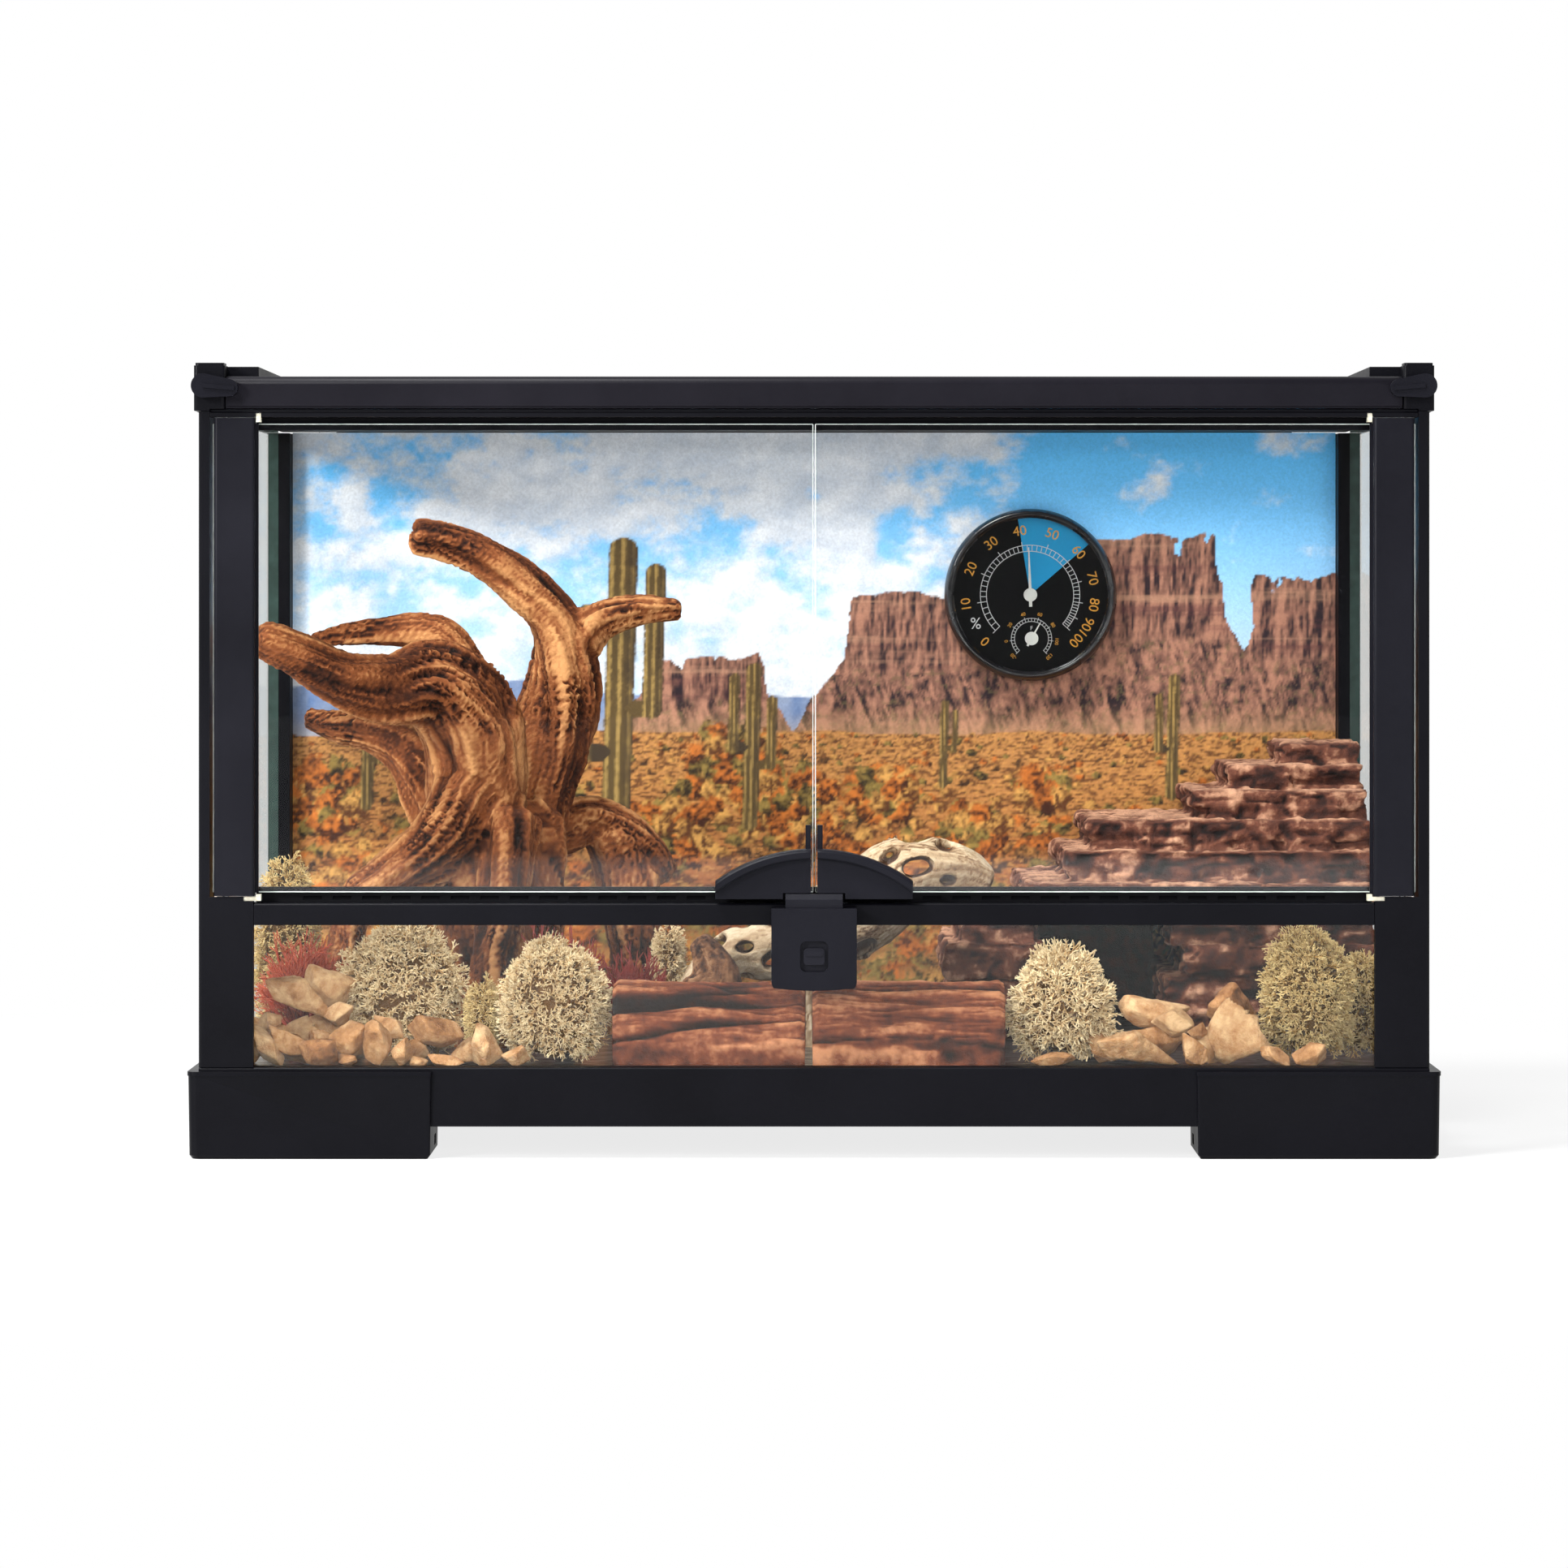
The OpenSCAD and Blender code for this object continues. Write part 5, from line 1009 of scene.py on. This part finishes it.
# Painted light and shade: the tone is paler on top faces and raised chips and darker in the gaps and splits of the
# sides.
tone = np.clip(0.46 + side * (0.3 * strata - 0.45 * gap - 0.4 * split) + 0.6 * chips + 0.16 * (1 - side), 0, 1)
# Painted shade: the back wall inside the hide, under the roof slabs, is toned dark.
tone *= 1 - 0.85 * ease(points[:, 1], 215, 262) * ease(abs(points[:, 0] - 116), 29, 25) * ease(points[:, 2], 88, 82)
slate = timber("slate_stone", linear(13, 6, 5), linear(58, 29, 21), linear(104, 60, 44), linear(204, 154, 122), 300.0, 0.75)
make("ledge_stone", in_row(points), faces, slate, "red_slate", ["slate_ledge"], tone=tone)

# Stones. Broken pieces of pale limestone heaped behind the window, angular with rounded arrises
# and dusty.


def ball(cuts):
    """Points on a sphere and its quads, from a cube whose faces are cut into a grid each way."""
    t = np.tan(np.linspace(-np.pi / 4, np.pi / 4, cuts + 1))
    a, b = np.meshgrid(t, t)
    one = np.ones_like(a)
    grids = [(one, a, b), (-one, b, a), (b, one, a), (a, -one, b), (a, b, one), (b, a, -one)]
    points = np.concatenate([np.stack(g, -1).reshape(-1, 3) for g in grids])
    points /= np.linalg.norm(points, axis=1)[:, None]
    cell = (np.arange(cuts)[None, :] + np.arange(cuts)[:, None] * (cuts + 1)).ravel()
    quad = np.c_[cell, cell + 1, cell + cuts + 2, cell + cuts + 1]
    faces = np.concatenate([quad + i * (cuts + 1) ** 2 for i in range(6)])
    keys = np.round(points * 1e5).astype(np.int64)
    _, first, same = np.unique(keys, axis=0, return_index=True, return_inverse=True)
    return points[first], same.reshape(-1)[faces]


def rubble(stones, cuts=20):
    """Many stones as one set of arrays, each given as (x, depth, foot, width, thickness, height,
    tilt in degrees). Each is a ball cut back to a dozen random planes, so it is angular, then
    roughened by noise, sized to its box, tilted and set at its foot."""
    unit, quads = ball(cuts)
    points, faces, tones = [], [], []
    for i, (x, d, foot, w, depth, h, tilt) in enumerate(stones):
        r = np.random.default_rng(140 + i)
        planes = r.normal(size=(14, 3))
        planes /= np.linalg.norm(planes, axis=1)[:, None]
        reach = r.uniform(0.7, 1.0, 14)
        away = np.maximum(unit @ planes.T, 0.05)
        radius = ((reach / away) ** -18.0).sum(1) ** (-1 / 18.0)
        p = unit * radius[:, None]
        p = (p - p.min(0)) / (p.max(0) - p.min(0)) - 0.5
        p = p * [w, depth, h]
        p += unit * (0.07 * min(w, h) * noise(p + 50 * i, 5.0, 81, 5, 0.62))[:, None]
        a = math.radians(tilt)
        p = np.c_[p[:, 0] * math.cos(a) - p[:, 2] * math.sin(a), p[:, 1], p[:, 0] * math.sin(a) + p[:, 2] * math.cos(a)]
        p += [x, d, foot - p[:, 2].min()]
        p[:, 2] = np.maximum(p[:, 2], floor_top)
        faces.append(quads + len(unit) * i)
        points.append(p)
        tones.append(np.clip(0.56 + 0.1 * r.normal() + 0.4 * noise(p, 5.0, 82, 5, 0.65), 0, 1))
    return np.concatenate(points), np.concatenate(faces), np.concatenate(tones)


limestone = timber("limestone", linear(62, 36, 19), linear(132, 88, 53), linear(176, 128, 84), linear(218, 180, 134), 320.0, 0.8)
left_heap = (
    (-193, 34, 48.5, 28, 20, 17, -4), (-183, 50, 52, 20, 16, 17, 0), (-205, 18, 33, 8, 12, 19, 34), (-197.5, 22, 36, 15, 14, 12, -8),
    (-185, 15, 33, 16, 12, 11, -12), (-193, 32, 41, 13, 12, 10, 0), (-184.5, 27, 39, 10, 10, 10, 20), (-175, 23, 37, 14, 12, 13, -6),
    (-164, 17, 33, 13, 12, 17, 28), (-154.5, 19, 33, 9, 11, 11, 0), (-142, 28, 39, 22, 14, 12, -18), (-123.5, 20, 33, 12, 14, 17, 12),
    (-137.5, 15, 33, 14, 10, 5, 0), (-111.5, 17, 33, 11, 11, 8, 0), (-175, 20, 33, 8, 8, 4.5, 0), (-151, 31, 34, 13, 10, 9, 0),
    (-148, 20, 33, 7, 7, 4, 0), (-205, 30, 46, 9, 12, 7, 10), (-203, 26, 40, 9, 10, 8, 0), (-180, 36, 47, 13, 12, 9, 0),
    (-160, 31, 42, 12, 12, 9, 0), (-200, 34, 33, 20, 16, 12, 0), (-172, 34, 33, 18, 14, 12, 0), (-130, 32, 33, 16, 12, 10, 0),
    (-187, 46, 33, 26, 18, 18, 0), (-213, 40, 33, 12, 14, 18, 0),
)
right_heap = (
    (121, 20, 33, 30, 15, 16, 8), (129, 42, 45, 28, 16, 13, 0), (135, 32, 43, 16, 12, 11, -10), (142, 18, 33, 12, 10, 12, -14),
    (157, 38, 44, 17, 14, 18, 22), (157, 25, 33, 21, 15, 23, 24), (172.5, 17, 33, 11, 10, 8, 0), (185, 18, 33, 13, 11, 9, 0),
    (89.5, 17, 33, 17, 10, 5.5, 0), (144, 29, 42, 8, 8, 7, 0), (128, 38, 33, 24, 18, 14, 0), (150, 36, 33, 22, 16, 14, 0),
    (110, 36, 33, 16, 14, 12, 0),
)
for name, heap in (("left_stones", left_heap), ("right_stones", right_heap)):
    points, faces, tone = rubble(heap)
    make(name + "_rock", in_row(points), faces, limestone, "pale_stone", [name], tone=tone)

# Lichen. Balls of dried reindeer lichen: thousands of fine forked twigs round a tangled middle, darker towards the twig
# bases and pale at the tips; the middle is a ball toned dark as painted shade.


def sprig(rng, levels=3, spread_by=0.55):
    """A forked twig one unit tall: (start, end, start radius, end radius, height share) per twig."""
    twigs = []

    def grow(base, way, length, radius, level):
        tip = base + way * length
        twigs.append((base, tip, radius, radius * 0.72, level / levels))
        if level >= levels:
            return
        for k in range(2 if level else 3):
            side = rng.normal(size=3)
            side -= side @ way * way
            side /= np.linalg.norm(side)
            new = way + side * spread_by * rng.uniform(0.7, 1.5)
            grow(tip, new / np.linalg.norm(new), length * rng.uniform(0.66, 0.9), radius * 0.75, level + 1)

    grow(np.zeros(3), np.array([0, 0, 1.0]), 0.34, 0.065, 0)
    return twigs


def twig_mesh(twigs):
    """Three-sided tapered tubes for twigs, as points, quads and a height share for each point."""
    points, shares = [], []
    for a, b, ra, rb, share in twigs:
        way = (b - a) / np.linalg.norm(b - a)
        side = np.cross(way, [0.3, 0.9, 0.2])
        side /= np.linalg.norm(side)
        other = np.cross(way, side)
        for p, r in ((a, ra), (b, rb)):
            for k in range(3):
                t = 2 * np.pi * k / 3
                points.append(p + r * (math.cos(t) * side + math.sin(t) * other))
        shares += [share] * 6
    quads = np.array([[0, 1, 4, 3], [1, 2, 5, 4], [2, 0, 3, 5]])
    faces = np.concatenate([quads + 6 * i for i in range(len(twigs))])
    return np.array(points), faces, np.array(shares)


def moss(x, d, w, depth, h, seed, kinds, count, size):
    """Sprigs set over the upper part of a squat ball that stands on the floor, each turned to the surface's normal with
    some tilt, and a rough ball inside them, toned dark as painted shade."""
    r = np.random.default_rng(200 + seed)
    up = r.normal(size=(count, 3))
    up /= np.linalg.norm(up, axis=1)[:, None]
    up[:, 2] = np.where(up[:, 2] < -0.8, -up[:, 2], up[:, 2])
    lumpy = 1 + 0.24 * noise(up, 0.5, 90 + seed, 2)
    semi = np.array([w / 2, depth / 2, h * 0.54]) - size * 0.72
    centre = np.array([x, d, floor_top + h * 0.46])
    base = centre + up * semi * (lumpy * r.uniform(0.74, 1.0, count))[:, None]
    points, faces, tones, start = [], [], [], 0
    for i in range(count):
        q, f, share = kinds[i % len(kinds)]
        way = up[i] / semi + 0.35 * r.normal(size=3) / semi.mean()
        way /= np.linalg.norm(way)
        side = np.cross(way, r.normal(size=3))
        side /= np.linalg.norm(side)
        spin = np.stack([side, np.cross(way, side), way])
        p = base[i] + q @ spin * size * r.uniform(0.75, 1.35)
        points.append(p)
        faces.append(f + start)
        tones.append(0.24 + 0.6 * share + 0.08 * r.normal())
        start += len(q)
    unit, quads = ball(14)
    inner = centre + unit * semi * (0.9 + 0.1 * noise(unit, 0.3, 95 + seed, 3))[:, None]
    points.append(inner)
    faces.append(quads + start)
    # Painted shade: the inner ball is toned dark for the shaded middle of the clump.
    tones.append(np.full(len(inner), 0.17))
    points = np.concatenate(points)
    points[:, 2] = np.maximum(points[:, 2], floor_top + 0.05)
    return points, np.concatenate(faces), np.clip(np.concatenate(tones), 0, 1)


rng = np.random.default_rng(21)
kinds = [twig_mesh(sprig(rng, 3)) for _ in range(8)]
cream = timber("cream_lichen", linear(34, 20, 9), linear(134, 98, 58), linear(206, 170, 118), linear(246, 224, 180), 150.0, 0.85, fleck=0.06)
sage = timber("sage_lichen", linear(28, 19, 8), linear(112, 82, 42), linear(180, 144, 86), linear(226, 200, 142), 150.0, 0.85, fleck=0.06)
for i, (x, d, w, depth, h, mat, count, size) in enumerate((
    (-157, 62, 50, 30, 52, cream, 1450, 6.5), (-98.5, 37, 42, 38, 47, cream, 1450, 5.5), (-126, 52, 11, 18, 31, sage, 500, 4.5),
    (94, 42, 40, 30, 42, cream, 800, 8.5), (187, 46, 34, 34, 51, sage, 1450, 5.5), (209, 62, 20, 22, 42, sage, 600, 6.0),
    (-206, 120, 26, 24, 72, sage, 900, 5.5), (-58, 165, 14, 16, 46, cream, 400, 5.0),
)):
    points, faces, tone = moss(x, d, w, depth, h, i, kinds, count, size)
    make(f"lichen_{i + 1}", in_row(points), faces, mat, "lichen", ["lichen_clumps"], tone=tone)

# Plants and a bark piece. Red twiggy tufts and darker wine-red twiggy ones behind the lichen, and one split piece of
# bark that leans between the root and the branch.


def tuft(x, d, w, h, seed, count, kinds):
    """Stems fanned up from one foot, each a forked twig scaled to reach the tuft's outline."""
    r = np.random.default_rng(300 + seed)
    points, faces, tones, start = [], [], [], 0
    for i in range(count):
        q, f, share = kinds[i % len(kinds)]
        turn, lean = r.uniform(0, 2 * np.pi), r.uniform(0, 1) ** 0.6
        way = np.array([math.cos(turn) * lean * w / h * 0.9, math.sin(turn) * lean * w / h * 0.7, 1.0])
        reach = h * r.uniform(0.75, 0.98) * (1 - 0.3 * lean)
        way /= np.linalg.norm(way)
        side = np.cross(way, r.normal(size=3))
        side /= np.linalg.norm(side)
        spin = np.stack([side, np.cross(way, side), way])
        p = q * [0.62, 0.62, 0.98] @ spin * reach + [x, d, floor_top]
        p += [r.normal() * w * 0.06, r.normal() * w * 0.06, 0]
        points.append(p)
        faces.append(f + start)
        tones.append(0.2 + 0.6 * share + 0.08 * r.normal())
        start += len(q)
    points = np.concatenate(points)
    half = np.array([w / 2, w / 2])
    points[:, :2] = np.clip(points[:, :2], [x - half[0], d - half[1]], [x + half[0], d + half[1]])
    points[:, 2] = np.clip(points[:, 2], floor_top, floor_top + h)
    return points, np.concatenate(faces), np.clip(np.concatenate(tones), 0, 1)


rng = np.random.default_rng(33)
stems = [twig_mesh([(a, b, ra * 0.4, rb * 0.45, s) for a, b, ra, rb, s in sprig(rng, 4, 0.46)]) for _ in range(6)]
coral = timber("coral_twigs", linear(56, 12, 7), linear(114, 30, 17), linear(154, 52, 31), linear(194, 94, 64), 200.0, 0.6)
wine = timber("wine_leaves", linear(34, 10, 12), linear(76, 20, 22), linear(116, 34, 34), linear(160, 66, 58), 200.0, 0.55)
for i, (x, d, w, h, mat, count) in enumerate(((-195, 80, 42, 51, coral, 60), (-97, 92, 32, 51, wine, 44), (-70, 92, 26, 43, wine, 36))):
    points, faces, tone = tuft(x, d, w, h, i, count, stems)
    make(f"tuft_{i + 1}", in_row(points), faces, mat, "red_plant", ["plants"], tone=tone)

shard = [(-42, 97, 30, 11), (-40, 97, 48, 12), (-37, 96, 64, 9), (-44, 96, 76, 4)]
points, faces = fused([limb(shard, 5.0, 0.2)], 1.0, 2)
points, tone = wooded([shard], points, faces, 1.2, 3.0, 14.0)
points[:, 1] = 96 + (points[:, 1] - 96) * 0.5
points[:, 2] = np.maximum(points[:, 2], floor_top)
brown = timber("brown_bark_wood", linear(44, 26, 18), linear(96, 62, 42), linear(140, 98, 68), linear(186, 146, 108), 260.0)
make("shard_bark", in_row(points), faces, brown, "brown_bark", ["bark_shard"], tone=tone)
